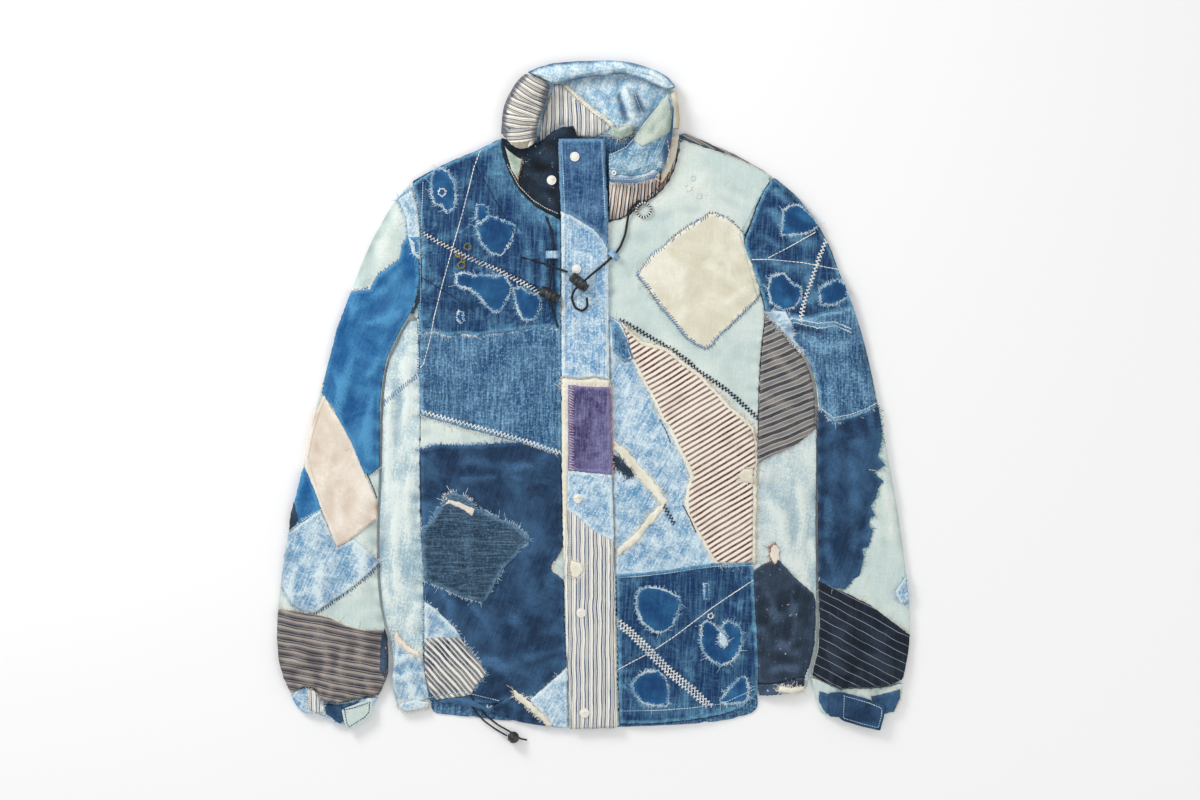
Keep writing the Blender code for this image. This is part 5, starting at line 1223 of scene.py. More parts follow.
# %% Panels
back = dressed("back", None, "mid_denim", longest=9)
PANELS = {
    "front_right": (body, "pale_green", RIGHT_FRONT, 0.21, 0.74),
    "front_left": (body, "pale_green", LEFT_FRONT, 0.23, 0.75),
    "side_right": (body, "side_worn", RIGHT_SIDE, 0.11, 0.51),
    "side_left": (body, "side_washed", LEFT_SIDE, 0.13, 0.50),
    "yoke_left": (body, "grey_stripe_yoke", None, 0.012, 0.13),
    "sleeve_right": (arm_right, "pale_green", RIGHT_ARM, 0.29, 0.66),
    "sleeve_left": (arm_left, "pale_green", LEFT_ARM, 0.29, 0.66),
    "cuff_right": (wrist_right, "faded_denim", None, 0.24, 0.04),
    "cuff_left": (wrist_left, "pale_green", None, 0.24, 0.04),
    "placket": (strip, "bleached_denim", PLACKET, 0.065, 0.75),
}
for node, (surface, ground, cover, width, length) in PANELS.items():
    piece = dressed(node, surface, ground, cover, longest=5.0 if "cuff" in node else 6.5)
    print(node, "cloth area", round(cloth_area(piece), 4), "m2 for a cut of", round(width * length, 4))

# %% [markdown]
# ## The collar
# The collar is turned open: a rolled band along the top holds a drawcord, the right side rolls
# outwards in ticking, and a pale blue flap falls forwards on the left. Each solid already has the
# roll's section, so its relaxed copy only needs small drawn-up waves and a stripe that follows the
# roll.

# %% Collar shells
COLLAR = {
    "collar_back": (neck_back, "collar_blue", 0.17, 0.11),
    "collar_band": (band_face, "collar_blue", 0.20, 0.06),
    "collar_right_roll": (roll_face, "ticking_roll", 0.12, 0.08),
    "collar_right_stand": (stand_right, "stand_black", 0.14, 0.10),
    "collar_left_stand": (stand_left, "stand_stripe", 0.10, 0.07),
    "collar_left_side": (side_face, "cream", 0.05, 0.04),
    "collar_left_roll": (flap_face, "flap_blue", 0.13, 0.08),
}
COLLAR_RUMPLE = 0.12  # mm
ROLL_LINE = [(-92, 318), (-94, 335), (-92, 352), (-86, 368), (-78, 382), (-70, 397)]
for node, (surface, fabric, width, length) in COLLAR.items():
    piece = dressed(node, surface, fabric, longest=3.5, rumple=COLLAR_RUMPLE)
    co = np.array([v.co for v in piece.data.vertices]) / MM
    add_values(piece.data, along=away(co[:, :2] - (SHIFT_X, SHIFT_Y), ROLL_LINE)[1] + 0.25 * co[:, 2])
    print(node, "area", round(cloth_area(piece), 4), "m2 for a cut of", round(width * length, 4))

# %% [markdown]
# ## Threads by rule
# Every stitch is the same small thing: a short thread at an even pitch along a line, turned by some
# angle. A running stitch lies along the line, a whip stitch across it, a zigzag turns left and right,
# and a frayed edge is a row of threads that stick out. One node tree makes them all, so only its
# inputs change.

# %% The tree for threads
THREAD_INPUTS = [("Pitch", 0.005), ("Length", 0.0035), ("Width", 0.0008), ("Turn", 0.0),
                 ("Turn Spread", 0.1), ("Length Spread", 0.2), ("Zigzag", 0.0), ("Start", 0.0)]
thread_tree = bpy.data.node_groups.new("threads along lines", "GeometryNodeTree")
face = thread_tree.interface
face.new_socket("Lines", in_out="INPUT", socket_type="NodeSocketGeometry")
sockets = {}
for label, value in THREAD_INPUTS:
    sockets[label] = face.new_socket(label, in_out="INPUT", socket_type="NodeSocketFloat")
    sockets[label].default_value = value
sockets["Seed"] = face.new_socket("Seed", in_out="INPUT", socket_type="NodeSocketInt")
sockets["Thread"] = face.new_socket("Thread", in_out="INPUT", socket_type="NodeSocketMaterial")
face.new_socket("Threads", in_out="OUTPUT", socket_type="NodeSocketGeometry")
add = partial(add_node, thread_tree)
given = add("NodeGroupInput").outputs
walk = add("GeometryNodeCurveToPoints", {"Curve": given["Lines"], "Length": given["Pitch"]}, mode="LENGTH")
aim = add("FunctionNodeAlignRotationToVector", {"Vector": walk.outputs["Tangent"]}, axis="X", pivot_axis="Z")
chance = add("FunctionNodeRandomValue", {"Seed": given["Seed"]}, {2: -1.0, 3: 1.0}, data_type="FLOAT")
sway = add("ShaderNodeMath", {0: chance.outputs[1], 1: given["Turn Spread"], 2: given["Turn"]},
           operation="MULTIPLY_ADD")
number = add("GeometryNodeInputIndex")
parity = add("ShaderNodeMath", {0: number.outputs[0]}, {1: 2.0}, operation="MODULO")
parity = add("ShaderNodeMath", {0: parity.outputs[0]}, {1: 2.0, 2: -1.0}, operation="MULTIPLY_ADD")
turn = add("ShaderNodeMath", {0: parity.outputs[0], 1: given["Zigzag"], 2: sway.outputs[0]},
           operation="MULTIPLY_ADD")
about = add("ShaderNodeCombineXYZ", {"Z": turn.outputs[0]})
about = add("FunctionNodeEulerToRotation", {"Euler": about.outputs[0]})
facing = add("FunctionNodeRotateRotation", {"Rotation": aim.outputs[0], "Rotate By": about.outputs[0]},
             rotation_space="LOCAL")
other = add("ShaderNodeMath", {0: given["Seed"]}, {1: 31.0}, operation="ADD")
longer = add("FunctionNodeRandomValue", {"Seed": other.outputs[0]}, {2: -1.0, 3: 1.0}, data_type="FLOAT")
longer = add("ShaderNodeMath", {0: longer.outputs[1], 1: given["Length Spread"]}, {2: 1.0},
             operation="MULTIPLY_ADD")
size = add("ShaderNodeCombineXYZ", {"X": longer.outputs[0]}, {"Y": 1.0, "Z": 1.0})
radius = add("ShaderNodeMath", {0: given["Width"]}, {1: 0.5}, operation="MULTIPLY")
fibre = add("GeometryNodeMeshCylinder", {"Radius": radius.outputs[0], "Depth": given["Length"]},
            {"Vertices": 5})
begin = add("ShaderNodeMath", {0: given["Length"], 1: given["Start"]}, operation="MULTIPLY")
begin = add("ShaderNodeCombineXYZ", {"X": begin.outputs[0]})
fibre = add("GeometryNodeTransform", {"Geometry": fibre.outputs["Mesh"], "Translation": begin.outputs[0]},
            {"Rotation": (0, math.pi / 2, 0)})
sewn = add("GeometryNodeInstanceOnPoints", {"Points": walk.outputs["Points"], "Instance": fibre.outputs[0],
                                            "Rotation": facing.outputs[0], "Scale": size.outputs[0]})
sewn = add("GeometryNodeRealizeInstances", {"Geometry": sewn.outputs[0]})
sewn = add("GeometryNodeSetMaterial", {"Geometry": sewn.outputs[0], "Material": given["Thread"]})
add("NodeGroupOutput", {"Threads": sewn.outputs[0]})


# %% [markdown]
# Thread is spun cotton: matt, slightly fuzzy, with a little dirt. Its colour changes softly from
# place to place.

# %% Thread colours
def clouded(name, clean, worn, rough, low=0.5, high=0.72, grain=6.0, detail=5.0, relief=True,
            specular=0.5):
    """One colour worn to another by a cloud of grain mm, for threads, plastic, enamel and braid."""
    material, tree, shader = new_material(name, {"Roughness": rough, "Specular IOR Level": specular})
    spot = add_node(tree, "ShaderNodeTexCoord").outputs["Object"]
    cloud = add_node(tree, "ShaderNodeTexNoise", {"Vector": spot}, {"Scale": 1000 / grain, "Detail": detail})
    tone = add_node(tree, "ShaderNodeValToRGB", {"Fac": cloud.outputs["Fac"]})
    set_ramp(tone, [(low, clean), (high, worn)])
    tree.links.new(tone.outputs[0], shader.inputs["Base Color"])
    if relief:
        raised = add_node(tree, "ShaderNodeBump", {"Height": cloud.outputs["Fac"]},
                          {"Strength": 0.2, "Distance": 0.0002})
        tree.links.new(raised.outputs[0], shader.inputs["Normal"])
    return material


THREAD_COLOURS = {
    "white": ("#f4f1ea", "#cfd6dc", "cream_cloth"), "cream": ("#f0e9dc", "#cfc8b6", "cream_cloth"),
    "pale_blue": ("#d3e5ee", "#8ab2cd", "light_denim"), "blue": ("#2f62a0", "#6f97c2", "indigo_denim"),
    "navy": ("#15223a", "#33435e", "navy_cloth"), "teal": ("#3f7f9c", "#b7d3d6", "light_denim"),
    "rust": ("#b06a3c", "#7d4526", "striped_cloth"), "pink": ("#e6c9cf", "#b98aa0", "purple_cloth"),
    "mustard": ("#a98f45", "#7d7a4c", "striped_cloth"),
}
threads = {}
for colour, (fresh, soiled, _) in THREAD_COLOURS.items():
    threads[colour] = clouded(colour + "_thread", fresh, soiled, 0.9, low=0.4, high=0.62, grain=25,
                              detail=4.0, relief=False, specular=0.2)
STYLES = {
    "running": dict(Pitch=0.0048, Length=0.0043, Width=0.0013),
    "close": {"Pitch": 0.0032, "Length": 0.0024, "Width": 0.0010, "Turn Spread": 0.08},
    "zigzag": {"Pitch": 0.0024, "Length": 0.0066, "Width": 0.0014, "Zigzag": 0.95, "Turn Spread": 0.12},
    "rim": {"Pitch": 0.0017, "Length": 0.0040, "Width": 0.0010, "Turn": 0.0, "Turn Spread": 0.7,
            "Length Spread": 0.5},
    "whip": {"Pitch": 0.0033, "Length": 0.0062, "Width": 0.0010, "Turn": 1.15, "Turn Spread": 0.35},
    "fray": {"Pitch": 0.0011, "Length": 0.0034, "Width": 0.0006, "Turn": -1.57, "Turn Spread": 0.6,
             "Length Spread": 0.7, "Start": 0.36},
    "wisps": {"Pitch": 0.0095, "Length": 0.0085, "Width": 0.0005, "Turn": -1.4, "Turn Spread": 1.2,
              "Length Spread": 0.6, "Start": 0.4},
}
thread_pieces = []


def sew(name, colour, style, lines, seed, **changes):
    """Makes one piece of the threads of one colour and style along 3-D lines in scene metres."""
    data = bpy.data.curves.new(name, "CURVE")
    data.dimensions = "3D"
    for line in lines:
        spline = data.splines.new("POLY")
        spline.points.add(len(line) - 1)
        for point, corner in zip(spline.points, line):
            point.co = (*corner, 1.0)
    lines_object = add_object(name + "_lines", data)
    rule = lines_object.modifiers.new("threads", "NODES")
    rule.node_group = thread_tree
    for label, value in {**STYLES[style], **changes, "Seed": seed}.items():
        rule[sockets[label].identifier] = value
    rule[sockets["Thread"].identifier] = threads[colour]
    evaluated = lines_object.evaluated_get(bpy.context.evaluated_depsgraph_get())
    mesh = bpy.data.meshes.new_from_object(evaluated)
    bpy.data.objects.remove(lines_object, do_unlink=True)
    mesh.shade_smooth()
    piece = add_object(name, mesh)
    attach(piece, "root")
    thread_pieces.append(piece)


# %% [markdown]
# ## Where the threads run
# Lines are written on the layout, under the colour and the stitch of their thread, and are then
# lifted to the top of whatever lies there. A frayed edge is a stretch of a scrap's own border, named
# by where it starts and ends, or all of it where no ends are named. It is walked anticlockwise, so
# that its threads point outwards.

# %% Lines on the cloth
def lifted(surface, line, above=0.25, step=3.0, closed=False):
    """A layout line as 3-D points on top of the scraps that lie there."""
    points = resampled(line, step, closed)
    if closed:
        points = np.vstack([points, points[:1]])
    height = surface.at(points[:, 0], points[:, 1])
    top = np.zeros(len(points))
    for outline, level in laid.get(id(surface), []):
        top = np.where(inside(points, outline), np.maximum(top, level + SCRAP), top)
    return [place(x, y, z) for (x, y), z in zip(points, height + top + above)]


def border_between(outline, start=None, end=None):
    """A whole border, or its stretch from one point to another, walked anticlockwise."""
    outline = np.asarray(outline, float)
    after = np.roll(outline, -1, 0)
    if np.sum(outline[:, 0] * after[:, 1] - after[:, 0] * outline[:, 1]) < 0:
        outline = outline[::-1]
    if start is None:
        return np.vstack([outline, outline[:1]])
    first = int(np.argmin(np.hypot(*(outline - start).T)))
    last = int(np.argmin(np.hypot(*(outline - end).T)))
    if last <= first:
        last += len(outline)
    return outline[np.arange(first, last + 1) % len(outline)]


FRAYS = {
    "white": [
        ("right_front_indigo", (-217, 81), (-43, 85)), ("right_front_mid_denim", (-217, -22), (-41, -72)),
        ("right_front_rip",), ("right_front_faded_wedge", (-33, -338), (-80, -379)), ("hole_panel_tongue",),
        ("right_side_washed", (-207, -376), (-249, -303)),
        ("left_front_faded_denim", (20, 100), (150, -203)), ("left_front_blue_bits",),
        ("left_side_black", (277, -256), (199, -219)), ("left_side_stripe", (204, -86), (277, -40)),
        ("right_arm_bright_blue", (-340, 4), (-269, -88)),
        ("right_arm_bright_blue", (-219, 200), (-305, 130)),
        ("right_arm_washed", (-269, -207), (-310, -183)), ("left_arm_mid_denim", (282, -12), (354, -12)),
        ("left_arm_worn_seam",), ("placket_bleached", (-40, 26), (19, 22)),
        ("neck_ticking", (21, 339), (-50, 391)), ("neck_tear",), ("flap_hem", (20, 268), (80, 281)),
        ("right_cuff_ticking",),
    ],
    "blue": [
        ("right_front_navy", (-41, -66), (-217, -67)),
    ],
    "cream": [
        ("right_front_navy", (-88, -383), (-34, -336)), ("right_front_navy", (-45, -223), (-39, -187)),
        ("right_front_cream_rim",), ("right_side_peach_seam",), ("right_side_cream_hem",),
        ("left_front_stripe_margin",), ("left_front_brown_stripe", (156, -207), (36, 89)),
        ("left_front_cream_notch",), ("left_front_seam_upper",), ("left_front_seam_lower",),
        ("left_front_diamond", (70, 134), (85, 112)), ("left_front_diamond", (55, 153), (70, 134)),
        ("left_side_cream_hem",), ("right_arm_grey_stripe", (-265, -293), (-395, -266)),
        ("left_arm_pinstripe", (395, -298), (281, -230)), ("placket_cream",),
        ("placket_pale_denim", (-35, -141), (25, -181)), ("placket_worn_spot",),
        ("stand_green_wedge", (-95, 271), (-90, 297)), ("left_cuff_navy",),
    ],
    "pale_blue": [
        ("right_front_dark_denim",), ("right_front_washed",),
        ("right_front_ticking", (-153, -372), (-168, -302)), ("hole_shoulder_outer",),
        ("hole_shoulder_small",), ("hole_chest_upper",), ("hole_chest_middle",), ("hole_chest_inner",),
        ("hole_panel_first",), ("hole_panel_second",), ("hole_panel_third",), ("hole_panel_fourth",),
        ("hole_left_arm_top",), ("hole_left_arm_middle",), ("hole_left_arm_outer",),
        ("left_front_indigo", (199, -207), (28, -222)), ("right_arm_washed_top",),
        ("right_arm_washed", (-391, -236), (-269, -207)), ("right_arm_washed", (-342, -142), (-382, -170)),
        ("left_arm_washed_bit",), ("placket_dark_denim", (-41, 232), (17, 186)), ("right_cuff_navy",),
    ],
    "navy": [
        ("left_front_slit",),
    ],
    "rust": [
        ("left_side_torn_spot",), ("stand_cream_side", (97, 326), (84, 268)),
    ],
    "teal": [
        ("left_arm_navy", (298, -238), (355, -12)),
    ],
    "pink": [
        ("placket_purple",),
    ],
}
LINES = {
    ("white", "running"): [
        (body, [(-141, 311), (-150, 288), (-158, 255), (-165, 228), (-173, 200), (-190, 140), (-200, 100),
                (-205, 72), (-213, 42), (-216, 38)]),
        (body, [(28, -342), (70, -320), (100, -300), (150, -262), (198, -230)]),
        (arm_left, [(200, 172), (220, 172), (260, 168), (304, 160)]),
        (arm_left, [(220, 175), (245, 188), (275, 205)]),
    ],
    ("navy", "zigzag"): [
        (body, [(-217, 207.4), (-200, 197.4), (-180, 187.4), (-150, 172.4), (-120, 160.4), (-60, 129.4)]),
        (body, [(33, 96), (45, 90), (70, 75), (100, 58), (117, 45), (130, 33), (150, 20), (170, 6),
                (200, -22), (206, -27)]),
        (body, [(88, -137), (94, -148), (100, -158)]),
    ],
    ("white", "zigzag"): [
        (body, [(-216, 206), (-199, 196), (-179, 186), (-150, 171), (-120, 159), (-62, 128)]),
        (body, [(28, -278), (45, -290), (70, -315), (100, -345), (125, -365), (147, -386)]),
        (body, [(28, -284), (43, -295), (67, -320), (97, -350), (122, -370), (140, -386)]),
        (arm_left, [(290, 195), (280, 170), (270, 140), (262, 115), (258, 95)]),
        (body, [(-214, -19), (-170, -31), (-120, -45), (-80, -57), (-42, -70)]),
    ],
    ("navy", "running"): [
        (body, [(-152, 295), (-130, 258), (-120, 240), (-100, 205)]),
        (body, [(-213, 148), (-180, 128), (-150, 107)]),
        (body, [(83, -30), (90, -42), (95, -55)]),
        (body, [(112, -137), (120, -152), (127, -168)]),
        (arm_right, [(-283, -98), (-277, -112), (-272, -125)]),
    ],
    ("blue", "whip"): [
        (body, [(-265, -10), (-250, 4), (-235, 16), (-220, 28)]),
        (body, [(-218, 90), (-218, 60), (-218, 30)]),
    ],
    ("pale_blue", "close"): [
        (body, [(32, -393), (80, -392), (120, -389), (160, -384), (200, -366)]),
        (body, [(30, -226), (60, -224), (90, -221), (120, -216), (150, -212), (198, -211)]),
        (body, [(-205, -376), (-180, -371), (-160, -370), (-120, -380)]),
        (body, [(219, 270), (200, 238), (182, 204), (194, 160), (205, 121)]),
        (body, [(-214, 268), (-216, 215), (-217, 150), (-217, 110)]),
        (flap_face, [(22, 284), (45, 282), (70, 290), (84, 308), (91, 330), (94, 355)]),
        (band_face, [(-76, 404), (-50, 396), (-20, 403), (10, 407), (40, 410), (70, 402), (92, 390)]),
        (strip, [(-40, 318), (-38, 268), (-36, 225)]),
        (strip, [(10, 318), (12, 268), (14, 225)]),
    ],
    ("cream", "close"): [
        (body, [(109, 322), (120, 318), (140, 311), (165, 303), (180, 297), (195, 291), (214, 281)]),
        (arm_right, [(-337, -2), (-345, -22), (-353, -50), (-358, -76), (-346, -117), (-336, -143)]),
        (arm_right, [(-320, -183), (-310, -178), (-295, -167), (-275, -152)]),
        (stand_right, [(-108, 290), (-94, 264), (-76, 246), (-60, 236), (-46, 230)]),
        (strip, [(-31, -145), (-33, -290), (-27, -412)]),
        (strip, [(21, -185), (23, -290), (25, -410)]),
    ],
    ("blue", "running"): [
        (body, [(28, 88), (34, 72), (38, 55)]),
        (body, [(36, 88), (43, 70), (46, 54)]),
    ],
    ("navy", "whip"): [
        (arm_right, [(-269, -210), (-283, -223), (-300, -237), (-320, -251), (-336, -262), (-350, -271)]),
        (stand_left, [(44, 233), (58, 242), (70, 250), (84, 264)]),
    ],
    ("white", "close"): [
        (arm_right, [(-383, -168), (-369, -158), (-355, -148), (-342, -141)]),
        (arm_left, [(345, -91), (358, -93), (368, -93)]),
        (arm_left, [(286, -16), (300, -26), (320, -22), (340, -15), (353, -8)]),
        (neck_back, [(50, 384), (56, 366), (62, 352)]),
        (flap_face, [(22, 272), (46, 271), (72, 278), (84, 292)]),
        (flap_face, [(90, 374), (74, 354), (60, 337), (50, 322), (40, 311), (22, 302)]),
        (strip, [(-36, 222), (-37, 120), (-36, 28)]),
        (strip, [(14, 190), (15, 120), (16, 28)]),
    ],
    ("pale_blue", "rim"): [
        (arm_left, [(222, 92), (250, 98), (280, 92), (300, 94), (320, 86)]),
        (arm_left, [(224, 88), (252, 93), (282, 86), (302, 89), (321, 81)]),
    ],
    ("white", "whip"): [
        (neck_back, [(-37, 387), (-20, 374), (0, 357), (20, 340)]),
    ],
    ("pink", "running"): [
        (flap_face, [(92, 318), (94, 305), (92, 297)]),
    ],
    ("rust", "whip"): [
        (stand_left, [(72, 252), (80, 259), (88, 268), (95, 280)]),
    ],
    ("rust", "running"): [
        (stand_right, [(-90, 297), (-92, 284), (-95, 271)]),
    ],
    ("pink", "whip"): [
        (strip, [(-28, 12), (-28, -40), (-28, -90)]),
    ],
}
by_style = {thread: [lifted(surface, line) for surface, line in rows] for thread, rows in LINES.items()}
by_style["blue", "whip"].append(lifted(body, LEFT_FRONT["left_front_diamond"][2], closed=True))
fray_lines = {}
for colour, stretches in FRAYS.items():
    fray_lines[colour] = []
    for name, *ends in stretches:
        surface, outline = scrap_places[name]
        fray_lines[colour].append(lifted(surface, border_between(outline, *ends), above=-0.25, step=2.5))
DARNS = [("white", body, -190, 256, 4.5), ("mustard", body, -158, 188, 4), ("mustard", body, -166, 165, 4),
         ("mustard", body, -170, 178, 2.5), ("mustard", body, -164, 171, 2), ("white", body, 146, -274, 3),
         ("white", body, 118, 262, 4), ("white", body, 131, 252, 3), ("white", body, 124, 274, 2.5)]
for colour, surface, x, y, radius in DARNS:
    turns = np.linspace(0, math.tau, 13)[:-1]
    circle = [(x + radius * math.cos(turn), y + radius * math.sin(turn)) for turn in turns]
    by_style.setdefault((colour, "rim"), []).append(lifted(surface, circle, closed=True, step=1.5))
for number, ((colour, style), lines) in enumerate(by_style.items()):
    sew(f"stitches_{colour}_{style}", colour, style, lines, seed=number)
HOLES = [name for name in scrap_places if name.startswith("hole_") and "tongue" not in name]
rims = [lifted(*scrap_places[name], above=0.1, step=2.0, closed=True) for name in HOLES]
sew("hole_rims", "pale_blue", "rim", rims, seed=300)
sew("hole_rims_second", "pale_blue", "rim", rims, seed=301, Turn=0.9)
for number, (colour, lines) in enumerate(fray_lines.items()):
    sew(f"frayed_{colour}", colour, "fray", lines, seed=100 + number)
    sew(f"wisps_{colour}", colour, "wisps", lines, seed=200 + number)
thread_faces = sum(len(piece.data.polygons) for piece in thread_pieces)
print("thread pieces:", len(thread_pieces), "with", thread_faces, "faces")

# %% [markdown]
# ## Snaps, locks, loops and cords
# The hard pieces sit exactly where their plain solids are: the middle and the axis of each are read
# from the solid's points, and a turned profile is placed on them. The drawcords keep the routes of
# the plain solids and pass through their locks, each as one length of braid.

# %% Hard finishes
fabrics["enamel"] = clouded("enamel", "#e9e7df", "#b9b3a4", 0.38)
fabrics["plastic"] = clouded("plastic", "#15181d", "#4b5158", 0.5, low=0.45)
fabrics["braid"] = clouded("braid", "#12161d", "#39414c", 0.9, grain=1.6)
fabrics["ring_thread"] = clouded("ring_thread", "#e6e2d8", "#b5b0a6", 0.9, grain=2.5)
SLOTS.update(enamel="snap_enamel", plastic="black_plastic", braid="black_cord", ring_thread="cream_cloth")


# %% Turned pieces
def middle_and_axis(node, longest):
    """The middle of a solid's box and its longest or shortest direction, in metres."""
    points = np.array([v.co for v in nodes[node].data.vertices])
    middle = (points.min(0) + points.max(0)) / 2
    _, _, directions = np.linalg.svd(points - points.mean(0), full_matrices=False)
    axis = directions[0 if longest else 2]
    return middle, axis if axis[2] > 0 or (longest and abs(axis[2]) < 0.3) else -axis


def point_outwards(piece):
    """Merges a mesh's doubled corners and turns its faces outwards."""
    work = bmesh.new()
    work.from_mesh(piece.data)
    bmesh.ops.remove_doubles(work, verts=work.verts, dist=1e-6)
    bmesh.ops.recalc_face_normals(work, faces=work.faces)
    work.to_mesh(piece.data)
    work.free()


def turned(name, node, profile, fabric, longest=False, sides=36):
    """A profile of (distance from the axis, place along it) in mm, turned about a solid's own axis."""
    middle, axis = middle_and_axis(node, longest)
    across = np.cross(axis, (0.0, 1.0, 0.0) if abs(axis[1]) < 0.9 else (1.0, 0.0, 0.0))
    across /= np.linalg.norm(across)
    third = np.cross(axis, across)
    corners, faces = [], []
    for out, along in profile:
        for k in range(sides):
            angle = math.tau * k / sides
            spread = (across * math.cos(angle) + third * math.sin(angle)) * out
            corners.append(tuple(middle + (spread + axis * along) * MM))
    closed = profile[0] == profile[-1]
    rings = len(profile) - 1
    for i in range(rings):
        for k in range(sides):
            j = (k + 1) % sides
            faces.append((i * sides + k, i * sides + j, (i + 1) * sides + j, (i + 1) * sides + k))
    if not closed:
        faces.append(tuple(range(sides))[::-1])
        faces.append(tuple(rings * sides + k for k in range(sides)))
    piece = add_mesh(name, corners, faces, fabric)
    point_outwards(piece)
    piece.data.shade_smooth()
    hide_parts(node)
    return piece


SNAP_PROFILE = [(5.2, -1.2), (5.8, -0.9), (6.0, -0.4), (6.0, 0.1), (5.6, 0.5), (5.0, 0.55), (4.7, 0.3),
                (4.4, 0.3), (4.1, 0.6), (3.2, 0.95), (2.0, 1.08), (0.6, 1.1)]
for number in range(1, 6):
    turned(f"snap_cap_{number}", f"snap_{number}", SNAP_PROFILE, "enamel")
turned("snap_cap_stand", "snap_stand", SNAP_PROFILE, "enamel")
eyelet_span = np.ptp(np.array([v.co for v in nodes["flap_eyelet"].data.vertices]), axis=0)[0] / MM / 2
turned("eyelet_rim", "flap_eyelet", [(eyelet_span - 2.2, -0.3), (eyelet_span - 0.2, -0.4),
                                     (eyelet_span, 0.1), (eyelet_span - 0.8, 0.7), (eyelet_span - 1.8, 0.5),
                                     (eyelet_span - 2.2, -0.3)], "enamel", sides=28)
BARREL = [(4.4, -12.9), (5.3, -12.2), (5.5, -9.8), (4.7, -9.4), (4.7, -8.6), (6.2, -8.2), (6.7, -7.4),
          (6.7, -4.6), (6.0, -4.1), (6.0, -3.5), (6.7, -3.0), (6.7, 0.0), (6.0, 0.5), (6.0, 1.1), (6.7, 1.6),
          (6.7, 4.6), (6.0, 5.1), (6.0, 5.7), (6.7, 6.2), (6.7, 9.4), (6.2, 11.6), (5.0, 12.7), (3.6, 12.9)]
lock_left = turned("lock_left_barrel", "cord_lock_left", BARREL, "plastic", longest=True, sides=32)
lock_right = turned("lock_right_barrel", "cord_lock_right", BARREL, "plastic", longest=True, sides=32)
BALL_RADIUS = 7.4
ball_profile = [(BALL_RADIUS * math.sin(t), -BALL_RADIUS * math.cos(t)) for t in np.linspace(0.12, 2.2, 14)]
ball_profile += [(5.3, 4.4), (4.3, 4.6), (4.3, 5.0), (4.1, 6.2), (3.0, 6.9), (0.8, 7.1)]
lock_hem = turned("hem_lock_ball", "hem_cord_lock", ball_profile, "plastic", sides=36)

# %% The whipped neck ring
RING_RADIUS, RING_TUBE, WRAPS = 9.0, 1.6, 34
ring_middle, ring_axis = middle_and_axis("neck_ring", False)
ring_across = np.cross(ring_axis, (0.0, 1.0, 0.0))
ring_across /= np.linalg.norm(ring_across)
ring_third = np.cross(ring_axis, ring_across)
STEPS, RING_SIDES = WRAPS * 6, 10
corners, faces = [], []
for i in range(STEPS):
    turn_angle = math.tau * i / STEPS
    outward = ring_across * math.cos(turn_angle) + ring_third * math.sin(turn_angle)
    for k in range(RING_SIDES):
        tube_angle = math.tau * k / RING_SIDES
        swell = RING_TUBE * (0.88 + 0.12 * math.cos(WRAPS * turn_angle + tube_angle))
        point = outward * (RING_RADIUS + swell * math.cos(tube_angle))
        point += ring_axis * swell * math.sin(tube_angle)
        corners.append(tuple(ring_middle + point * MM))
        following = ((i + 1) % STEPS) * RING_SIDES
        faces.append((i * RING_SIDES + k, following + k, following + (k + 1) % RING_SIDES,
                      i * RING_SIDES + (k + 1) % RING_SIDES))
neck_ring = add_mesh("neck_ring_whipped", corners, faces, "ring_thread")
neck_ring.data.materials.append(threads["navy"])
for index, face in enumerate(neck_ring.data.polygons):
    face.material_index = 1 if (index // RING_SIDES // 6) % 2 == 1 else 0
point_outwards(neck_ring)
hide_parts("neck_ring")

# %% Loops and cuff tabs
for side in ("right", "left"):
    loop = dressed(f"cord_loop_{side}", None, "loop_tape", longest=1.6, rounds=2, rumple=0.08)
TAB_LINES = {
    "cuff_tab_right": [(-312, -391), (-300, -388.5), (-284, -383), (-280.5, -382), (-281.5, -394),
                       (-287, -400.5), (-306, -412.5), (-309, -408)],
    "cuff_tab_left": [(313, -374), (330, -378.5), (345, -383), (358, -388.5), (360, -391), (359.5, -398),
                      (355.5, -413.5), (335, -408.5), (312, -401.5)],
}
TABS = {"cuff_tab_right": ("pale_green", 0.045, 0.028), "cuff_tab_left": ("navy", 0.07, 0.038)}
for node, (fabric, width, length) in TABS.items():
    face = Surface([node], 2.5)
    face.finish()
    tab = dressed(node, face, fabric, longest=2.5, rounds=2, rumple=0.1)
    print(node, "area", round(cloth_area(tab), 5), "m2 for a cut of", round(width * length, 5))
    laid[id(face)] = []
    outline = TAB_LINES[node]
    sew(f"{node}_stitches", "navy" if "right" in node else "pale_blue", "close",
        [lifted(face, outline, closed=True, step=2.0)], seed=400)

# %% Cords
ROUTE_STEP = 0.8      # mm between a cord's rings
BRAID_PITCH = 5.5     # mm for one turn of the braid
CORNER_WIDTH = 7.0    # mm over which a corner of a route is rounded
REACH = 2.4           # mm round a point of a route in which the plain solids are read
CORD_SIDES = 12
STRANDS = 4


def middle_height(names, x, y):
    """The middle height of the plain solids near a layout point, in mm, or None where there is none."""
    heights = [v.co.z / MM for name in names for v in nodes[name].data.vertices
               if math.hypot(v.co.x / MM - SHIFT_X - x, v.co.y / MM - SHIFT_Y - y) < REACH]
    return (min(heights) + max(heights)) / 2 if heights else None


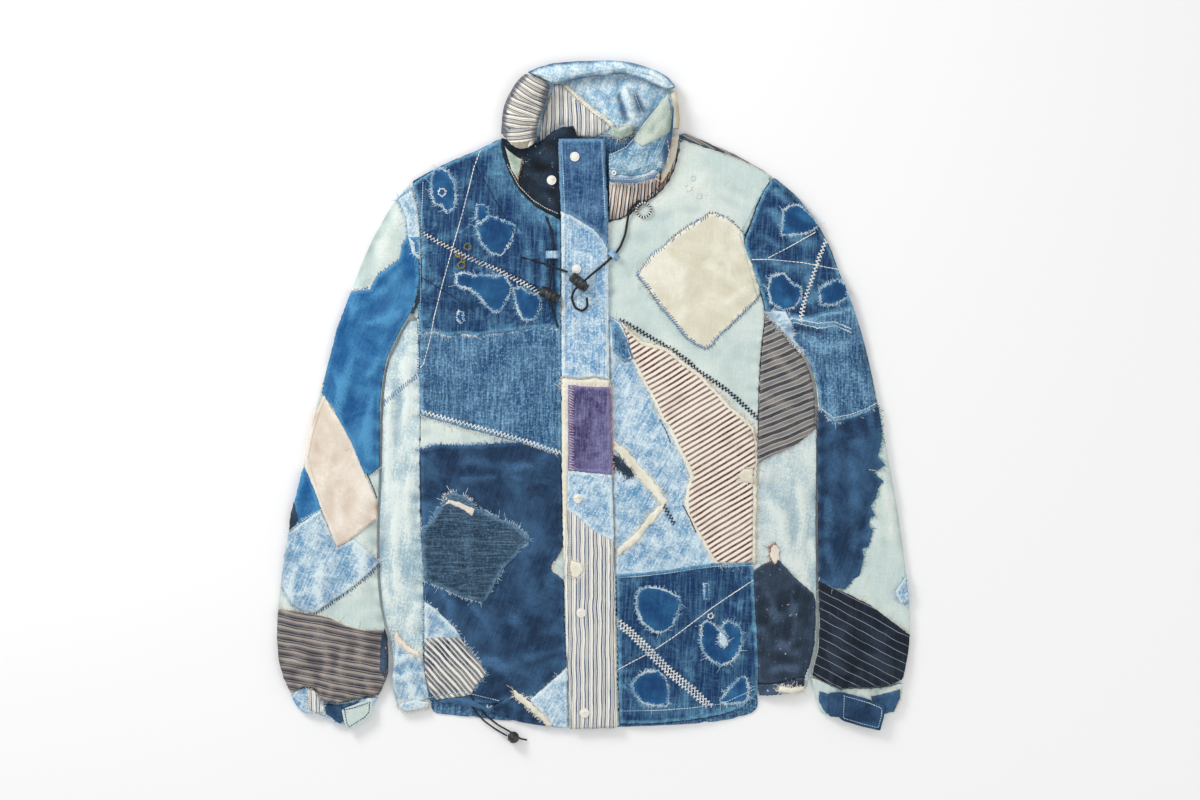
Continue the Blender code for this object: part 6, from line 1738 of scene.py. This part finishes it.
def smooth_route(points):
    """A route with evenly spaced points and its corners rounded; its ends stay where they are."""
    points = np.asarray(points, float)
    run = np.concatenate([[0], np.cumsum(np.linalg.norm(np.diff(points, axis=0), axis=1))])
    at = np.linspace(0, run[-1], int(run[-1] / ROUTE_STEP) + 1)
    dense = np.stack([np.interp(at, run, points[:, k]) for k in range(3)], 1)
    half = int(CORNER_WIDTH / ROUTE_STEP / 2)
    before = 2 * dense[0] - dense[half:0:-1]
    after = 2 * dense[-1] - dense[-2:-half - 2:-1]
    padded = np.vstack([before, dense, after])
    window = np.ones(2 * half + 1) / (2 * half + 1)
    return np.stack([np.convolve(padded[:, k], window, "valid") for k in range(3)], 1)


def drawcord(name, route, radius, replaces, beside):
    """A braided round cord along a layout route."""
    points, height = [], None
    for x, y in route:
        found = middle_height(list(replaces) + list(beside), x, y)
        height = found if found is not None else height
        points.append((x, y, height))
    known = next(p[2] for p in points if p[2] is not None)
    points = [(x, y, known if z is None else z) for x, y, z in points]
    line = smooth_route(points)
    corners, faces = [], []
    for i, point in enumerate(line):
        ahead, behind = line[min(i + 1, len(line) - 1)], line[max(i - 1, 0)]
        way = (ahead - behind) / np.linalg.norm(ahead - behind)
        across = np.cross(way, (0, 0, 1.0))
        across /= np.linalg.norm(across)
        up = np.cross(across, way)
        end_taper = 0.75 if i in (0, len(line) - 1) else 1.0
        for k in range(CORD_SIDES):
            angle = math.tau * k / CORD_SIDES
            twist = math.tau * i * ROUTE_STEP / BRAID_PITCH
            relief = max(math.sin(STRANDS * angle + twist * 2), math.sin(STRANDS * angle - twist * 2))
            out = radius * (0.93 + 0.07 * relief) * end_taper
            outward = (across * math.cos(angle) + up * math.sin(angle)) * out
            corners.append(tuple(place(*(point + outward))))
    for i in range(len(line) - 1):
        for k in range(CORD_SIDES):
            j = (k + 1) % CORD_SIDES
            faces.append((i * CORD_SIDES + k, (i + 1) * CORD_SIDES + k, (i + 1) * CORD_SIDES + j,
                          i * CORD_SIDES + j))
    faces.append(tuple(range(CORD_SIDES)))
    faces.append(tuple((len(line) - 1) * CORD_SIDES + k for k in range(CORD_SIDES))[::-1])
    piece = add_mesh(name, corners, faces, "braid")
    for node in replaces:
        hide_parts(node)


CORD_RADIUS, THIN_CORD_RADIUS = 1.5, 1.1        # mm
NECK_CORD_LEFT = [(57, 246), (45, 235), (42, 222), (39, 203), (33, 188), (25, 177), (15, 168), (3, 158),
                  (-7, 149.5)]
NECK_CORD_LEFT_LOOP = [(-25, 133), (-28, 124), (-24, 112), (-15, 107), (-8, 113), (-9, 124)]
NECK_CORD_LEFT_TAIL = [(-33, 156), (-46, 161), (-60, 166), (-76, 171), (-92, 175)]
NECK_CORD_RIGHT = [(-60, 226), (-54, 210), (-51, 195), (-51, 178), (-53, 160), (-55, 136)]
NECK_CORD_RIGHT_TAIL = [(-54, 117), (-51, 107), (-48, 97), (-45, 87)]
HEM_CORD_UPPER = [(-154, -374), (-146, -386), (-134, -400), (-120, -411), (-106.5, -418)]
HEM_CORD_LOWER = [(-159, -378), (-150, -391), (-138, -405), (-124, -416), (-109, -424)]
HEM_CORD_TAIL = [(-92.4, -427.6), (-88, -429), (-84, -430)]
drawcord("neck_drawcord_left", NECK_CORD_LEFT + NECK_CORD_LEFT_LOOP, CORD_RADIUS,
         ["neck_cord_left", "neck_cord_left_loop"], ["cord_lock_left"])
drawcord("neck_drawcord_left_tail", NECK_CORD_LEFT_TAIL, CORD_RADIUS, ["neck_cord_left_tail"],
         ["cord_lock_left"])
drawcord("neck_drawcord_right", NECK_CORD_RIGHT + NECK_CORD_RIGHT_TAIL, CORD_RADIUS,
         ["neck_cord_right", "neck_cord_right_tail"], ["cord_lock_right"])
drawcord("hem_drawcord_upper", HEM_CORD_UPPER + HEM_CORD_TAIL, THIN_CORD_RADIUS,
         ["hem_cord_upper", "hem_cord_tail"], ["hem_cord_lock"])
drawcord("hem_drawcord_lower", HEM_CORD_LOWER, THIN_CORD_RADIUS, ["hem_cord_lower"], ["hem_cord_lock"])
